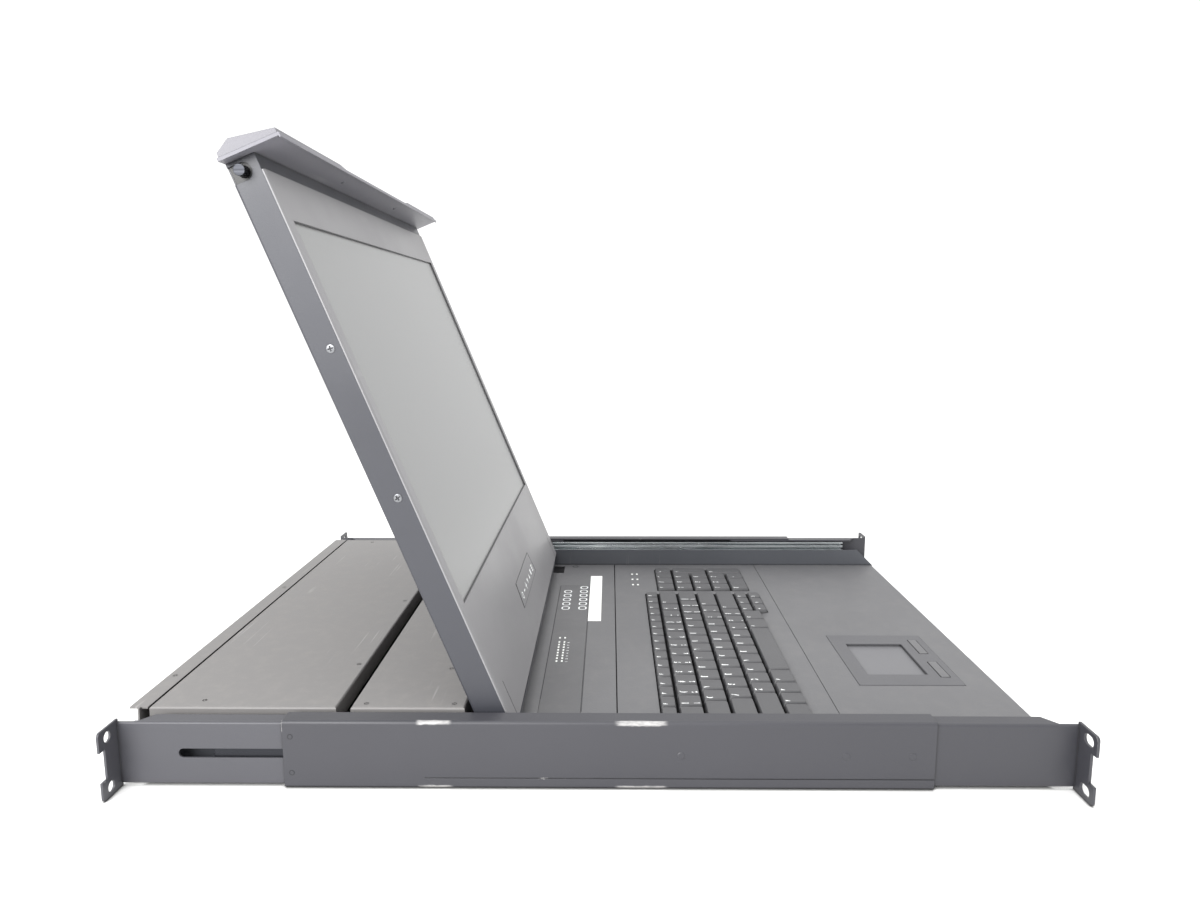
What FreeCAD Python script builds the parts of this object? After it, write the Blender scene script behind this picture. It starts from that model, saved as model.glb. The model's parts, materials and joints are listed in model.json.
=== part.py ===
"""Rack console drawer: a fold-up screen, a keyboard and a port switch on ball slides.

X runs to the user's right, Y to the rear, Z up. The origin is the centre of the underside.
The drawer is shown pushed home between its rails, with the screen opened up.
"""
import FreeCAD
import Part
import math
import os

V = FreeCAD.Vector
X_AXIS = V(1, 0, 0)
Y_AXIS = V(0, 1, 0)

# ---------------------------------------------------------------- driving dimensions, mm
# 19 inch rack standard
EAR_SPAN = 482.6
EAR_WIDTH = 17.65
EAR_HOLE_INSET = 8.75
HOLE_SPACING_Z = 31.75
EAR_HOLE_RADIUS = 3.4
EAR_SLOT_LENGTH = 10.3

# whole drawer
DEPTH = 592.0
MOVING_GAP = 0.3
OVERSHOOT = 1.0

# outer rails: C channels that open towards the drawer
RAIL_HEIGHT = 43.5
RAIL_FLANGE = 12.5
RAIL_SHEET = 1.5
RAIL_BEND = 2.0
RAIL_FRONT_INSET = 92.2
RAIL_REAR_INSET = 102.9
CREASE_HEIGHT = 7.0
CREASE_REAR_INSET = 86.4
CREASE_WIDTH = 0.7
CREASE_DEPTH = 0.4

# end brackets: channels nested in the rails, with rack ears
NEST_DEPTH = 1.7
SLIDING_GAP = 0.15
EAR_SETBACK = 4.9
FRONT_BRACKET_LAP = 63.8
REAR_BRACKET_LAP = 148.1
EAR_CORNER = 2.5
EAR_RELIEF_HEIGHT = 19.0
EAR_RELIEF_DEPTH = 5.6
FLANGE_CUT_BACK = 13.0
FLANGE_CUT_SLANT = 8.0
SLOT_GAP = 0.2
SLOT_REAR_INSET = 38.0
SLOT_FRONT_INSET = 12.0

# ball slides, from the bracket inwards
SLIDE_SPACE = 14.25
SLIDE_FRONT_INSET = 32.5
SLIDE_LENGTH = 500.0
SLIDE_HEIGHT = 35.2
SLIDE_FLANGE_DEPTH = 9.4
BALL_RADIUS = 1.5
BALL_FLATS = 8
BALL_LATITUDE = 52
BALL_SPACING = 50.0
BALLS_PER_ROW = 3
BALL_DEPTH = 6.2
POCKET_GAP = 0.12
RACE_OFFSET = 1.1
TRACK_WEB = 1.0
TRACK_FLANGE = 1.4
MIDDLE_WEB = 1.0
MIDDLE_FLANGE = 2.0
RUNNER_WEB = 1.2
RUNNER_FLANGE = 1.4
CAGE_SHEET = 0.5
CAGE_LEG_DEPTH = 8.6
CAGE_LENGTH = 130.0
OUTER_CAGE_INSET = 143.5
INNER_CAGE_INSET = 163.5
STUD_RADIUS = 2.8
STUD_INSETS = (13.1, 73.1)

# drawer tray
TRAY_SHEET = 1.2
TRAY_UNDERSIDE = 1.6
TRAY_WALL_TOP = 31.5
TRAY_NOSE = 18.0
DECK_TOP = 14.5
BULKHEAD_GAP = 1.9
TAB_WIDTH = 10.0
TAB_REACH = 9.0

# rear bay covers and connector panel
COVER_TOP = 43.5
COVER_SHEET = 1.2
COVER_BEND = 1.4
COVER_SIDE_GAP = 3.2
COVER_SKIRT = 12.0
CABLE_COVER_DEPTH = 72.0
TROUGH_WIDTH = 9.0
COVER_SEAM = 0.8
STRIP_DEPTH = 11.6
PANEL_SIDE_GAP = 1.2
PANEL_RECESS = 6.0
PANEL_SHEET = 1.2
TAB_SIDE_INSET = 10.0
TAB_INNER_INSET = 88.0

# video connectors on the rear panel
PORT_COLUMNS = 8
PORT_ROWS_Z = (13.4, 30.6)
PORT_SIDE_INSET = 17.0
PORT_SHELL_WIDTH = 16.4
PORT_SHELL_FOOT = 14.2
PORT_SHELL_HEIGHT = 8.3
PORT_SHELL_CORNER = 2.0
PORT_SHELL_REACH = 5.6
PORT_FLANGE_WIDTH = 30.6
PORT_FLANGE_HEIGHT = 12.5
PORT_FLANGE_SHEET = 0.8

# power inlet and its rocker switch
INLET_SIDE_INSET = 31.0
INLET_FLANGE = (31.0, 25.0, 2.0)
INLET_BODY = (27.0, 19.0, 20.0)
INLET_CAVITY = (24.0, 16.2, 15.0)
INLET_CORNER = 4.5
BLADE = (2.0, 4.0, 9.0)
BLADE_SPACING = 7.0
LIVE_BLADE_DROP = 1.5
EARTH_BLADE_RISE = 2.5
ROCKER_INLET_SPACING = 34.0
PORT_ROCKER_SPACING = 38.0
ROCKER_FRAME = (21.0, 25.0, 1.8)
ROCKER_WELL = (13.0, 16.6, 9.0)
ROCKER_THROW = 10.0
ROCKER_SIDE_GAP = 0.6
ROCKER_END_GAP = 1.7
ROCKER_FACE = 6.4
ROCKER_SKIRT = 3.4
ROCKER_ROOT = 3.0
ROCKER_PIN_RADIUS = 1.5
ROCKER_PIN_CLEARANCE = 0.15

# circuit boards and supply in the bay
BOARD_THICKNESS = 1.6
BOARD_LIFT = 3.2
BOARD_FOOT = 5.0
BOARD_FOOT_INSET = 8.0
BOARD_FRONT_INSET = 16.5
BOARD_REAR_INSET = 8.8
BOARD_SIDE_INSET = 19.0
BOARD_SUPPLY_GAP = 10.0
SWITCH_CHIPS = 5
SWITCH_CHIP = (24.0, 24.0, 2.4)
SUPPLY_WIDTH = 64.0
SUPPLY_HEIGHT = 28.0
SUPPLY_DEPTH = 80.0
SUPPLY_REAR_INSET = 26.0
VENT_MARGIN = 12.0
VENT_PITCH = 8.0
VENT_WIDTH = 3.0

# deck: palm rest, keyboard frame and control panel, moulded shells in one line
DECK_SIDE_GAP = 0.2
PALM_DEPTH = 131.0
KEYBOARD_DEPTH = 153.5
PANEL_DEPTH = 95.5
SHELL_WALL = 1.2
PALM_WALL = 2.4
PALM_NOSE = 2.0
SEAM_WIDTH = 0.4
WIDE_SEAM = 0.8

# keyboard
MAIN_UNITS = 15
NUMPAD_UNITS = 4
BLOCK_GAP_UNITS = 0.5
ARROW_UNITS = 3
FULL_ROWS = 5
KEYS_LEFT_MARGIN = 45.0
KEYS_RIGHT_MARGIN = 20.0
KEYS_REAR_MARGIN = 29.7
KEYS_FRONT_MARGIN = 18.5
FUNCTION_ROW_DEPTH = 12.8
ARROW_ROW_DEPTH = 12.8
KEY_GAP = 0.9
KEY_TOP_INSET = 1.5
KEY_TRAVEL = 2.5
KEY_HEIGHT = 6.1
KEY_BED_TOP = 8.4
KEY_BED_WALL = 1.4
KEY_BED_LAP = 2.5
WELL_GAP = 0.3
WELL_BEVEL = 7.0
WELL_BEVEL_DEPTH = 1.0

# touchpad
PAD_MIDDLE_X = -55.0
PAD_FRAME_SIZE = (101.0, 79.0, 0.8)
PAD_FRAME_INSET = 25.0
PAD_SIZE = (62.0, 46.0, 1.2)
PAD_INSET = 46.0
PAD_LIP = 2.0
PAD_DROP = 0.8
SEAT_GAP = 0.1
BUTTONS_MIDDLE_X = -53.3
BUTTON_SPACING = 46.0
BUTTON_SIZE = (29.5, 6.8)
BUTTONS_INSET = 31.0
BUTTON_GAP = 0.25
BUTTON_PROUD = 0.6
BUTTON_LIP = 1.0

# control panel
OVERLAY_LEFT_INSET = 18.0
OVERLAY_RIGHT_INSET = 75.0
OVERLAY_INSET = 25.7
OVERLAY_DEPTH = 29.4
OVERLAY_THICKNESS = 0.3
OVERLAY_GAP = 0.25
LABEL_SIZE = (136.0, 12.0, 0.15)
LABEL_RIGHT_INSET = 42.4
LABEL_INSET = 13.1
LIGHT_THICKNESS = 0.2
PORT_LIGHT = (3.2, 1.5)
PORT_LIGHT_PITCH = 5.8
PORT_LIGHTS_X = -20.9
PORT_LIGHT_COLUMNS = (47.7, 43.4)
HEAD_LIGHTS_X = -11.4
STATUS_LIGHT = (4.0, 2.0)
STATUS_LIGHTS_INSET = 15.6
STATUS_LIGHT_PITCH = 18.1
STATUS_LIGHT_ROWS = (18.6, 23.7)

# hinge line and lid; u runs up the lid from the hinge, v out of its face
HINGE_INSET = 20.8
HINGE_Z = 30.0
LID_LEAN = 22.0
LID_SIDE_GAP = 3.4
LID_BACK = 10.5
LID_FACE = 9.5
LID_SHEET = 1.2
LID_BEND = 1.6
LID_FOOT = -9.0
LID_TOP = 372.5
BEZEL_SHEET = 1.5
BEZEL_FOOT_LIFT = 4.0
NECK_HEIGHT = 10.1
BEZEL_CHAMFER = 1.2
BEZEL_SIDE = 11.0
BEZEL_BOTTOM = 85.5
BEZEL_HEAD = 29.9
SCREEN_LAP = 2.0
SCREEN_THICKNESS = 6.6
GROOVE_INSET = 18.0
GROOVE_LENGTH = 27.0
GROOVE_WIDTH = 0.8
GROOVE_DEPTH = 0.6
MENU_STRIP_X = (-42.0, 52.0)
MENU_STRIP_SPLAY = 5.0
MENU_STRIP_LIFT = 26.5
MENU_STRIP_HEIGHT = 20.0
MENU_STRIP_THICKNESS = 0.25
DISPLAY_BOARD_X = (-95.0, 62.0)
DISPLAY_BOARD_U = (8.0, 62.0)
DISPLAY_BOARD_LIFT = 4.0
DISPLAY_CHIPS = 3
DISPLAY_CHIP = (18.0, 18.0, 2.0)

# hinges
PIN_RADIUS = 3.0
PIN_CLEARANCE = 0.05
PIN_PROUD = 1.0
KNUCKLE_RADIUS = 6.5
LEAF_KNUCKLE_RADIUS = 6.0
HINGE_NOTCH_INSETS = (29.0, 3.0)
HINGE_NOTCH_TOP = 9.0
KNUCKLE_INSETS = (24.0, 10.0)
LEAF_WIDTH = 13.7
LEAF_SHEET = 3.0
LEAF_TOP = 45.0
HINGE_ARM_GAP = 1.0
HINGE_ARM_THICKNESS = 9.0
HINGE_ARM_CORNER = 5.0
HINGE_RECESS_REACH = 20.2

# handle
HANDLE_OVERHANG = 9.0
HANDLE_SHEET = 2.0
HANDLE_BACK_V = -10.1
HANDLE_FRONT_V = 28.4
HANDLE_LIP = 1.1
GRIP_RIDGE_RISE = 7.4
GRIP_BACK_RISE = 2.4
GRIP_FRONT_RISE = 2.6
GRIP_INNER_X = 82.0
GRIP_SLOPE_RUN = 46.0
GRIP_EDGE = 1.2

# latch pins
LATCH_DROP = 7.3
LATCH_V = -2.2
LATCH_NOTCH_RADIUS = 5.15
LATCH_PIN_RADIUS = 3.3
LATCH_PIN_LENGTH = 18.0
LATCH_PIN_PROUD = 6.0
LATCH_TRAVEL = 5.0
LATCH_CLEARANCE = 0.1
LATCH_HOUSING_DEPTH = 18.0
LATCH_HOUSING_HEIGHT = 11.8
LATCH_HOUSING_FACE = 3.5

# ---------------------------------------------------------------- derived places
FRONT_Y = -DEPTH / 2
REAR_Y = DEPTH / 2
MID_Z = RAIL_HEIGHT / 2
HOLE_SPACING_X = EAR_SPAN - 2 * EAR_HOLE_INSET

RAIL_OUTER_X = EAR_SPAN / 2 - EAR_WIDTH
RAIL_INNER_X = RAIL_OUTER_X - RAIL_SHEET
FLANGE_EDGE_X = RAIL_OUTER_X - RAIL_FLANGE
RAIL_FRONT_Y = FRONT_Y + RAIL_FRONT_INSET
RAIL_REAR_Y = REAR_Y - RAIL_REAR_INSET
FRONT_EAR_Y = FRONT_Y + EAR_SETBACK
FRONT_BRACKET_END_Y = RAIL_FRONT_Y + FRONT_BRACKET_LAP
REAR_BRACKET_END_Y = RAIL_REAR_Y - REAR_BRACKET_LAP

TRACK_BACK_X = RAIL_INNER_X - NEST_DEPTH
SLIDE_FRONT_Y = FRONT_Y + SLIDE_FRONT_INSET
SLIDE_REAR_Y = SLIDE_FRONT_Y + SLIDE_LENGTH
OUTER_ROW = SLIDE_HEIGHT / 2 - TRACK_FLANGE - RACE_OFFSET
MIDDLE_HALF = OUTER_ROW - RACE_OFFSET
INNER_ROW = MIDDLE_HALF - MIDDLE_FLANGE - RACE_OFFSET
RUNNER_HALF = INNER_ROW - RACE_OFFSET
OUTER_CAGE_DEPTH = TRACK_WEB + MOVING_GAP
MIDDLE_DEPTH = OUTER_CAGE_DEPTH + CAGE_SHEET + MOVING_GAP
INNER_CAGE_DEPTH = MIDDLE_DEPTH + MIDDLE_WEB + MOVING_GAP
RUNNER_EDGE_DEPTH = INNER_CAGE_DEPTH + CAGE_SHEET + MOVING_GAP
RACE_RADIUS = BALL_RADIUS + MOVING_GAP

TRAY_OUTER_X = RAIL_OUTER_X - SLIDE_SPACE
TRAY_INNER_X = TRAY_OUTER_X - TRAY_SHEET
TRAY_FLOOR = TRAY_UNDERSIDE + TRAY_SHEET
RUNNER_DEPTH = TRACK_BACK_X - TRAY_OUTER_X

DECK_HALF = TRAY_INNER_X - DECK_SIDE_GAP
PALM_SEAM_Y = FRONT_Y + PALM_DEPTH
KEYBOARD_SEAM_Y = PALM_SEAM_Y + KEYBOARD_DEPTH
PANEL_REAR_Y = KEYBOARD_SEAM_Y + PANEL_DEPTH

COVER_HALF = TRAY_INNER_X - COVER_SIDE_GAP
COVER_UNDERSIDE = COVER_TOP - COVER_SHEET
BULKHEAD_Y = PANEL_REAR_Y + BULKHEAD_GAP
CABLE_COVER_FRONT_Y = BULKHEAD_Y - COVER_SHEET - SLIDING_GAP
CABLE_COVER_REAR_Y = CABLE_COVER_FRONT_Y + CABLE_COVER_DEPTH
BAY_FRONT_Y = CABLE_COVER_REAR_Y + TROUGH_WIDTH
STRIP_FRONT_Y = REAR_Y - STRIP_DEPTH
BAY_REAR_Y = STRIP_FRONT_Y - COVER_SEAM
PANEL_HALF = TRAY_INNER_X - PANEL_SIDE_GAP
PANEL_FACE_Y = REAR_Y - PANEL_RECESS
PANEL_INNER_Y = PANEL_FACE_Y - PANEL_SHEET
COVER_TABS = (
    (COVER_HALF - TAB_SIDE_INSET, BAY_REAR_Y - 3 * TAB_WIDTH),
    (COVER_HALF - TAB_INNER_INSET, BAY_FRONT_Y + COVER_SHEET + TAB_WIDTH / 2),
    (COVER_HALF - TAB_SIDE_INSET, CABLE_COVER_REAR_Y - COVER_SHEET - TAB_WIDTH),
    (COVER_HALF - TAB_SIDE_INSET, BULKHEAD_Y + TRAY_SHEET + TAB_WIDTH),
    (COVER_HALF - TAB_INNER_INSET, BULKHEAD_Y + 2 * TAB_WIDTH),
)

INLET_X = PANEL_HALF - INLET_SIDE_INSET
ROCKER_X = INLET_X - ROCKER_INLET_SPACING
CONSOLE_PORT_X = ROCKER_X - PORT_ROCKER_SPACING
PORT_FIRST_X = PORT_SIDE_INSET - PANEL_HALF
PORT_PITCH = (CONSOLE_PORT_X - PORT_FIRST_X) / PORT_COLUMNS

SUPPLY_X = (COVER_HALF - BOARD_SIDE_INSET - SUPPLY_WIDTH, COVER_HALF - BOARD_SIDE_INSET)
SUPPLY_Y = (PANEL_INNER_Y - SUPPLY_REAR_INSET - SUPPLY_DEPTH, PANEL_INNER_Y - SUPPLY_REAR_INSET)
BOARD_X = (BOARD_SIDE_INSET - COVER_HALF, SUPPLY_X[0] - BOARD_SUPPLY_GAP)
BOARD_Y = (BAY_FRONT_Y + BOARD_FRONT_INSET, PANEL_INNER_Y - BOARD_REAR_INSET)

KEY_BASE = KEY_BED_TOP + KEY_TRAVEL + MOVING_GAP
KEY_TOP = KEY_BASE + KEY_HEIGHT
KEYS_LEFT_X = KEYS_LEFT_MARGIN - DECK_HALF
NUMPAD_RIGHT_X = DECK_HALF - KEYS_RIGHT_MARGIN
KEY_PITCH_X = (NUMPAD_RIGHT_X - KEYS_LEFT_X) / (MAIN_UNITS + BLOCK_GAP_UNITS + NUMPAD_UNITS)
KEYS_RIGHT_X = KEYS_LEFT_X + MAIN_UNITS * KEY_PITCH_X
NUMPAD_LEFT_X = NUMPAD_RIGHT_X - NUMPAD_UNITS * KEY_PITCH_X
KEYS_REAR_Y = KEYBOARD_SEAM_Y - KEYS_REAR_MARGIN
KEYS_FRONT_Y = PALM_SEAM_Y + KEYS_FRONT_MARGIN
NUMBER_ROW_Y = KEYS_REAR_Y - FUNCTION_ROW_DEPTH
KEY_PITCH_Y = (NUMBER_ROW_Y - KEYS_FRONT_Y) / FULL_ROWS
ARROWS_REAR_Y = KEYS_FRONT_Y + KEY_PITCH_Y
ARROWS_FRONT_Y = ARROWS_REAR_Y - 2 * ARROW_ROW_DEPTH
ARROWS_LEFT_X = KEYS_RIGHT_X - ARROW_UNITS * KEY_PITCH_X
WELL_MARGIN = WELL_GAP - KEY_GAP / 2

PAD_FRAME_FLOOR = DECK_TOP - PAD_FRAME_SIZE[2]
PALM_UNDERSIDE = DECK_TOP - PALM_WALL

HINGE_Y = PANEL_REAR_Y - HINGE_INSET
HINGE_ARM_REAR_Y = PANEL_REAR_Y - HINGE_ARM_GAP
LID_HALF = TRAY_OUTER_X - LID_SIDE_GAP
LID_INNER_X = LID_HALF - LID_SHEET
HINGE_NOTCH_X = (LID_HALF - HINGE_NOTCH_INSETS[0], LID_HALF - HINGE_NOTCH_INSETS[1])
KNUCKLE_X = (LID_HALF - KNUCKLE_INSETS[0], LID_HALF - KNUCKLE_INSETS[1])
LEAF_X = (KNUCKLE_X[0] - MOVING_GAP - LEAF_WIDTH, KNUCKLE_X[0] - MOVING_GAP)
SHELL_FACE_V = LID_FACE - BEZEL_SHEET
SHELL_BACK_V = -LID_BACK + LID_SHEET
BEZEL_FOOT = LID_FOOT + BEZEL_FOOT_LIFT
BEZEL_TOP = LID_TOP - NECK_HEIGHT
WINDOW_X = (BEZEL_SIDE - LID_HALF, LID_HALF - BEZEL_SIDE)
WINDOW_U = (BEZEL_FOOT + BEZEL_BOTTOM, BEZEL_TOP - BEZEL_HEAD)
HANDLE_HALF = LID_HALF + HANDLE_OVERHANG
HANDLE_TOP_U = LID_TOP + HANDLE_SHEET
LATCH_U = LID_TOP - LATCH_DROP
LATCH_PIN_X = (LID_HALF + LATCH_PIN_PROUD - LATCH_PIN_LENGTH, LID_HALF + LATCH_PIN_PROUD)


# ---------------------------------------------------------------- shape helpers
def box(x_range, y_range, z_range):
    """Block between two values on each axis."""
    size = V(x_range[1] - x_range[0], y_range[1] - y_range[0], z_range[1] - z_range[0])
    return Part.makeBox(size.x, size.y, size.z, V(x_range[0], y_range[0], z_range[0]))


def rounded_wire(corners, place):
    """Closed outline through corners (a, b) or (a, b, radius), set in space by place(a, b)."""
    spans = []
    for index, corner in enumerate(corners):
        here = V(corner[0], corner[1], 0)
        radius = corner[2] if len(corner) > 2 else 0
        if not radius:
            spans.append((here, None, here))
            continue
        back = (V(*corners[index - 1][:2], 0) - here).normalize()
        ahead = (V(*corners[(index + 1) % len(corners)][:2], 0) - here).normalize()
        half_angle = back.getAngle(ahead) / 2
        run = radius / math.tan(half_angle)
        bisector = (back + ahead).normalize()
        middle = here + bisector * (radius / math.sin(half_angle) - radius)
        spans.append((here + back * run, middle, here + ahead * run))
    edges = []
    for index, (start, middle, end) in enumerate(spans):
        previous_end = spans[index - 1][2]
        if (start - previous_end).Length > 1e-6:
            edges.append(Part.makeLine(place(previous_end), place(start)))
        if middle is not None:
            edges.append(Part.Arc(place(start), place(middle), place(end)).toShape())
    return Part.Wire(edges)


def extruded(corners, place, direction):
    return Part.Face(rounded_wire(corners, place)).extrude(direction)


def along_y(corners, y_range):
    """Outline in X and Z, carried along Y."""
    return extruded(corners, lambda p: V(p.x, y_range[0], p.y), V(0, y_range[1] - y_range[0], 0))


def along_x(corners, x_range):
    """Outline in Y and Z, carried along X."""
    return extruded(corners, lambda p: V(x_range[0], p.x, p.y), V(x_range[1] - x_range[0], 0, 0))


def along_z(corners, z_range):
    """Outline in X and Y, carried up Z."""
    return extruded(corners, lambda p: V(p.x, p.y, z_range[0]), V(0, 0, z_range[1] - z_range[0]))


def rectangle(a_range, b_range, radius=0.0):
    a0, a1 = a_range
    b0, b1 = b_range
    return [(a0, b0, radius), (a1, b0, radius), (a1, b1, radius), (a0, b1, radius)]


def spread(span, count):
    """Middles of equal stretches of a span."""
    return [span[0] + (span[1] - span[0]) * (index + 0.5) / count for index in range(count)]


def centred(middle, size):
    return (middle - size / 2, middle + size / 2)


def grown(span, margin):
    return (span[0] - margin, span[1] + margin)


def cylinder(centre, radius, length, axis):
    return Part.makeCylinder(radius, length, centre, axis)


def flat_sided(rings):
    """Solid with flat faces through rings of points, each ring with the same number of corners."""
    faces = [Part.Face(Part.makePolygon(ring + ring[:1])) for ring in (rings[0], rings[-1])]
    for lower, upper in zip(rings, rings[1:]):
        for index in range(len(lower)):
            after = (index + 1) % len(lower)
            corners = [lower[index], lower[after], upper[after], upper[index], lower[index]]
            faces.append(Part.Face(Part.makePolygon(corners)))
    solid = Part.Solid(Part.Shell(faces))
    return solid if solid.Volume > 0 else solid.reversed()


def mirrored(shape):
    return shape.mirror(V(0, 0, 0), X_AXIS)


def both_sides(shapes):
    return list(shapes) + [mirrored(shape) for shape in shapes]


def fillet_where(shape, radius, test):
    """Round the edges whose middle point passes the test."""
    edges = [edge for edge in shape.Edges if test(edge.CenterOfMass)]
    return shape.makeFillet(radius, edges)


def cut_all(shape, cutters):
    return shape.cut(Part.makeCompound(list(cutters))) if cutters else shape


def save(node, *shapes):
    solids = [solid for shape in shapes for solid in shape.Solids]
    whole = solids[0] if len(solids) == 1 else Part.makeCompound(solids)
    whole.exportStep("parts/" + node + ".step")


def save_pair(name, shape):
    save("right_" + name, shape)
    save("left_" + name, mirrored(shape))


def channel(outer_x, z_range, edge_x, sheet, bend):
    """C section that opens towards the drawer, with its web at outer_x."""
    z0, z1 = z_range
    inner_bend = max(bend - sheet, 0)
    web_x = outer_x - sheet
    return [
        (outer_x, z0, bend), (outer_x, z1, bend),
        (edge_x, z1), (edge_x, z1 - sheet),
        (web_x, z1 - sheet, inner_bend), (web_x, z0 + sheet, inner_bend),
        (edge_x, z0 + sheet), (edge_x, z0),
    ]


# ---------------------------------------------------------------- rails and brackets
def outer_rail():
    section = channel(RAIL_OUTER_X, (0, RAIL_HEIGHT), FLANGE_EDGE_X, RAIL_SHEET, RAIL_BEND)
    rail = along_y(section, (RAIL_FRONT_Y, RAIL_REAR_Y))
    crease = box((RAIL_OUTER_X - CREASE_DEPTH, RAIL_OUTER_X + OVERSHOOT),
                 (RAIL_FRONT_Y - OVERSHOOT, RAIL_REAR_Y - CREASE_REAR_INSET),
                 centred(CREASE_HEIGHT, CREASE_WIDTH))
    return rail.cut(crease)


def bracket(ear_y, end_y, clearance, round_holes):
    """Channel nested in the rail, with a rack ear bent outwards at ear_y, its outer face."""
    facing = 1 if end_y > ear_y else -1
    sheet = NEST_DEPTH - 2 * clearance
    outer_x = RAIL_INNER_X - clearance
    inner_x = outer_x - sheet
    z_range = grown((RAIL_SHEET, RAIL_HEIGHT - RAIL_SHEET), -clearance)
    section = channel(outer_x, z_range, FLANGE_EDGE_X, sheet, sheet)
    body = along_y(section, sorted((ear_y, end_y)))

    cut_end = ear_y - facing * OVERSHOOT
    cut_web = ear_y + facing * FLANGE_CUT_BACK
    cut_edge = cut_web + facing * FLANGE_CUT_SLANT
    flange_cut = [
        (FLANGE_EDGE_X - OVERSHOOT, cut_end), (inner_x, cut_end),
        (inner_x, cut_web), (FLANGE_EDGE_X - OVERSHOOT, cut_edge),
    ]
    body = body.cut(along_z(flange_cut, (-OVERSHOOT, RAIL_HEIGHT + OVERSHOOT)))

    ear_edge = EAR_SPAN / 2
    relief_x = ear_edge - EAR_RELIEF_DEPTH
    low, high = centred(MID_Z, EAR_RELIEF_HEIGHT)
    ear_outline = [
        (inner_x, 0), (ear_edge, 0, EAR_CORNER), (ear_edge, low), (relief_x, low),
        (relief_x, high), (ear_edge, high), (ear_edge, RAIL_HEIGHT, EAR_CORNER), (inner_x, RAIL_HEIGHT),
    ]
    ear_faces = sorted((ear_y, ear_y + facing * sheet))
    ear = along_y(ear_outline, ear_faces)
    hole_length = 2 * EAR_HOLE_RADIUS if round_holes else EAR_SLOT_LENGTH
    for z in centred(MID_Z, HOLE_SPACING_Z):
        ear = ear.cut(ear_hole(HOLE_SPACING_X / 2, z, hole_length, grown(ear_faces, OVERSHOOT)))
    return body.fuse(ear).removeSplitter()


def ear_hole(x, z, length, y_range):
    """Round hole, or a slot with round ends that runs along X."""
    depth = y_range[1] - y_range[0]
    reach = length / 2 - EAR_HOLE_RADIUS
    if reach <= 0:
        return cylinder(V(x, y_range[0], z), EAR_HOLE_RADIUS, depth, Y_AXIS)
    radius = EAR_HOLE_RADIUS - 0.001
    return along_y(rectangle(centred(x, length), centred(z, 2 * EAR_HOLE_RADIUS), radius), y_range)


def front_bracket():
    return bracket(FRONT_EAR_Y, FRONT_BRACKET_END_Y, 0, False)


def rear_bracket():
    """Slides in the outer rail to suit the depth of the rack; its slot runs on the studs."""
    half = STUD_RADIUS + SLOT_GAP
    slot_y = (REAR_BRACKET_END_Y + SLOT_FRONT_INSET, REAR_Y - SLOT_REAR_INSET)
    slot = along_x(rectangle(slot_y, centred(MID_Z, 2 * half), half - 0.001),
                   (TRACK_BACK_X, RAIL_INNER_X))
    return bracket(REAR_Y, REAR_BRACKET_END_Y, SLIDING_GAP, True).cut(slot)


def slide_studs():
    """Studs that hold each slide track off its rail."""
    return [cylinder(V(TRACK_BACK_X, RAIL_REAR_Y - inset, MID_Z), STUD_RADIUS, NEST_DEPTH, X_AXIS)
            for inset in STUD_INSETS]


# ---------------------------------------------------------------- ball slides
def slide_x(depth):
    """X of a place in the slide, measured inwards from the back of the track."""
    return TRACK_BACK_X - depth


def races(row, y_range):
    """Grooves that a pair of ball rows runs in."""
    return [cylinder(V(slide_x(BALL_DEPTH), y_range[0] - OVERSHOOT, MID_Z + side * row), RACE_RADIUS,
                     y_range[1] - y_range[0] + 2 * OVERSHOOT, Y_AXIS) for side in (-1, 1)]


def slide_member(web_depth, half_height, web, flange, edge_depth):
    """C section of one slide member, between the depths of its web and its flange edges."""
    z0, z1 = MID_Z - half_height, MID_Z + half_height
    back, edge = slide_x(web_depth), slide_x(edge_depth)
    inner = back + math.copysign(web, edge - back)
    section = [
        (back, z0), (back, z1),
        (edge, z1), (edge, z1 - flange),
        (inner, z1 - flange), (inner, z0 + flange),
        (edge, z0 + flange), (edge, z0),
    ]
    return along_y(section, (SLIDE_FRONT_Y, SLIDE_REAR_Y))


def slide_track():
    member = slide_member(0, SLIDE_HEIGHT / 2, TRACK_WEB, TRACK_FLANGE, SLIDE_FLANGE_DEPTH)
    return cut_all(member, races(OUTER_ROW, (SLIDE_FRONT_Y, SLIDE_REAR_Y)))


def slide_middle():
    member = slide_member(MIDDLE_DEPTH, MIDDLE_HALF, MIDDLE_WEB, MIDDLE_FLANGE, SLIDE_FLANGE_DEPTH)
    span = (SLIDE_FRONT_Y, SLIDE_REAR_Y)
    return cut_all(member, races(OUTER_ROW, span) + races(INNER_ROW, span))


def slide_runner():
    member = slide_member(RUNNER_DEPTH, RUNNER_HALF, RUNNER_WEB, RUNNER_FLANGE, RUNNER_EDGE_DEPTH)
    return cut_all(member, races(INNER_ROW, (SLIDE_FRONT_Y, SLIDE_REAR_Y)))


def ball(centre):
    """Steel ball, kept to a few flats: one full ring and a smaller ring on each side of it."""
    latitude = math.radians(BALL_LATITUDE)
    rings = []
    for angle in (-latitude, 0, latitude):
        radius = BALL_RADIUS * math.cos(angle)
        turns = [2 * math.pi * index / BALL_FLATS for index in range(BALL_FLATS)]
        height = BALL_RADIUS * math.sin(angle)
        rings.append([centre + V(radius * math.cos(t), radius * math.sin(t), height) for t in turns])
    return flat_sided(rings)


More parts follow.
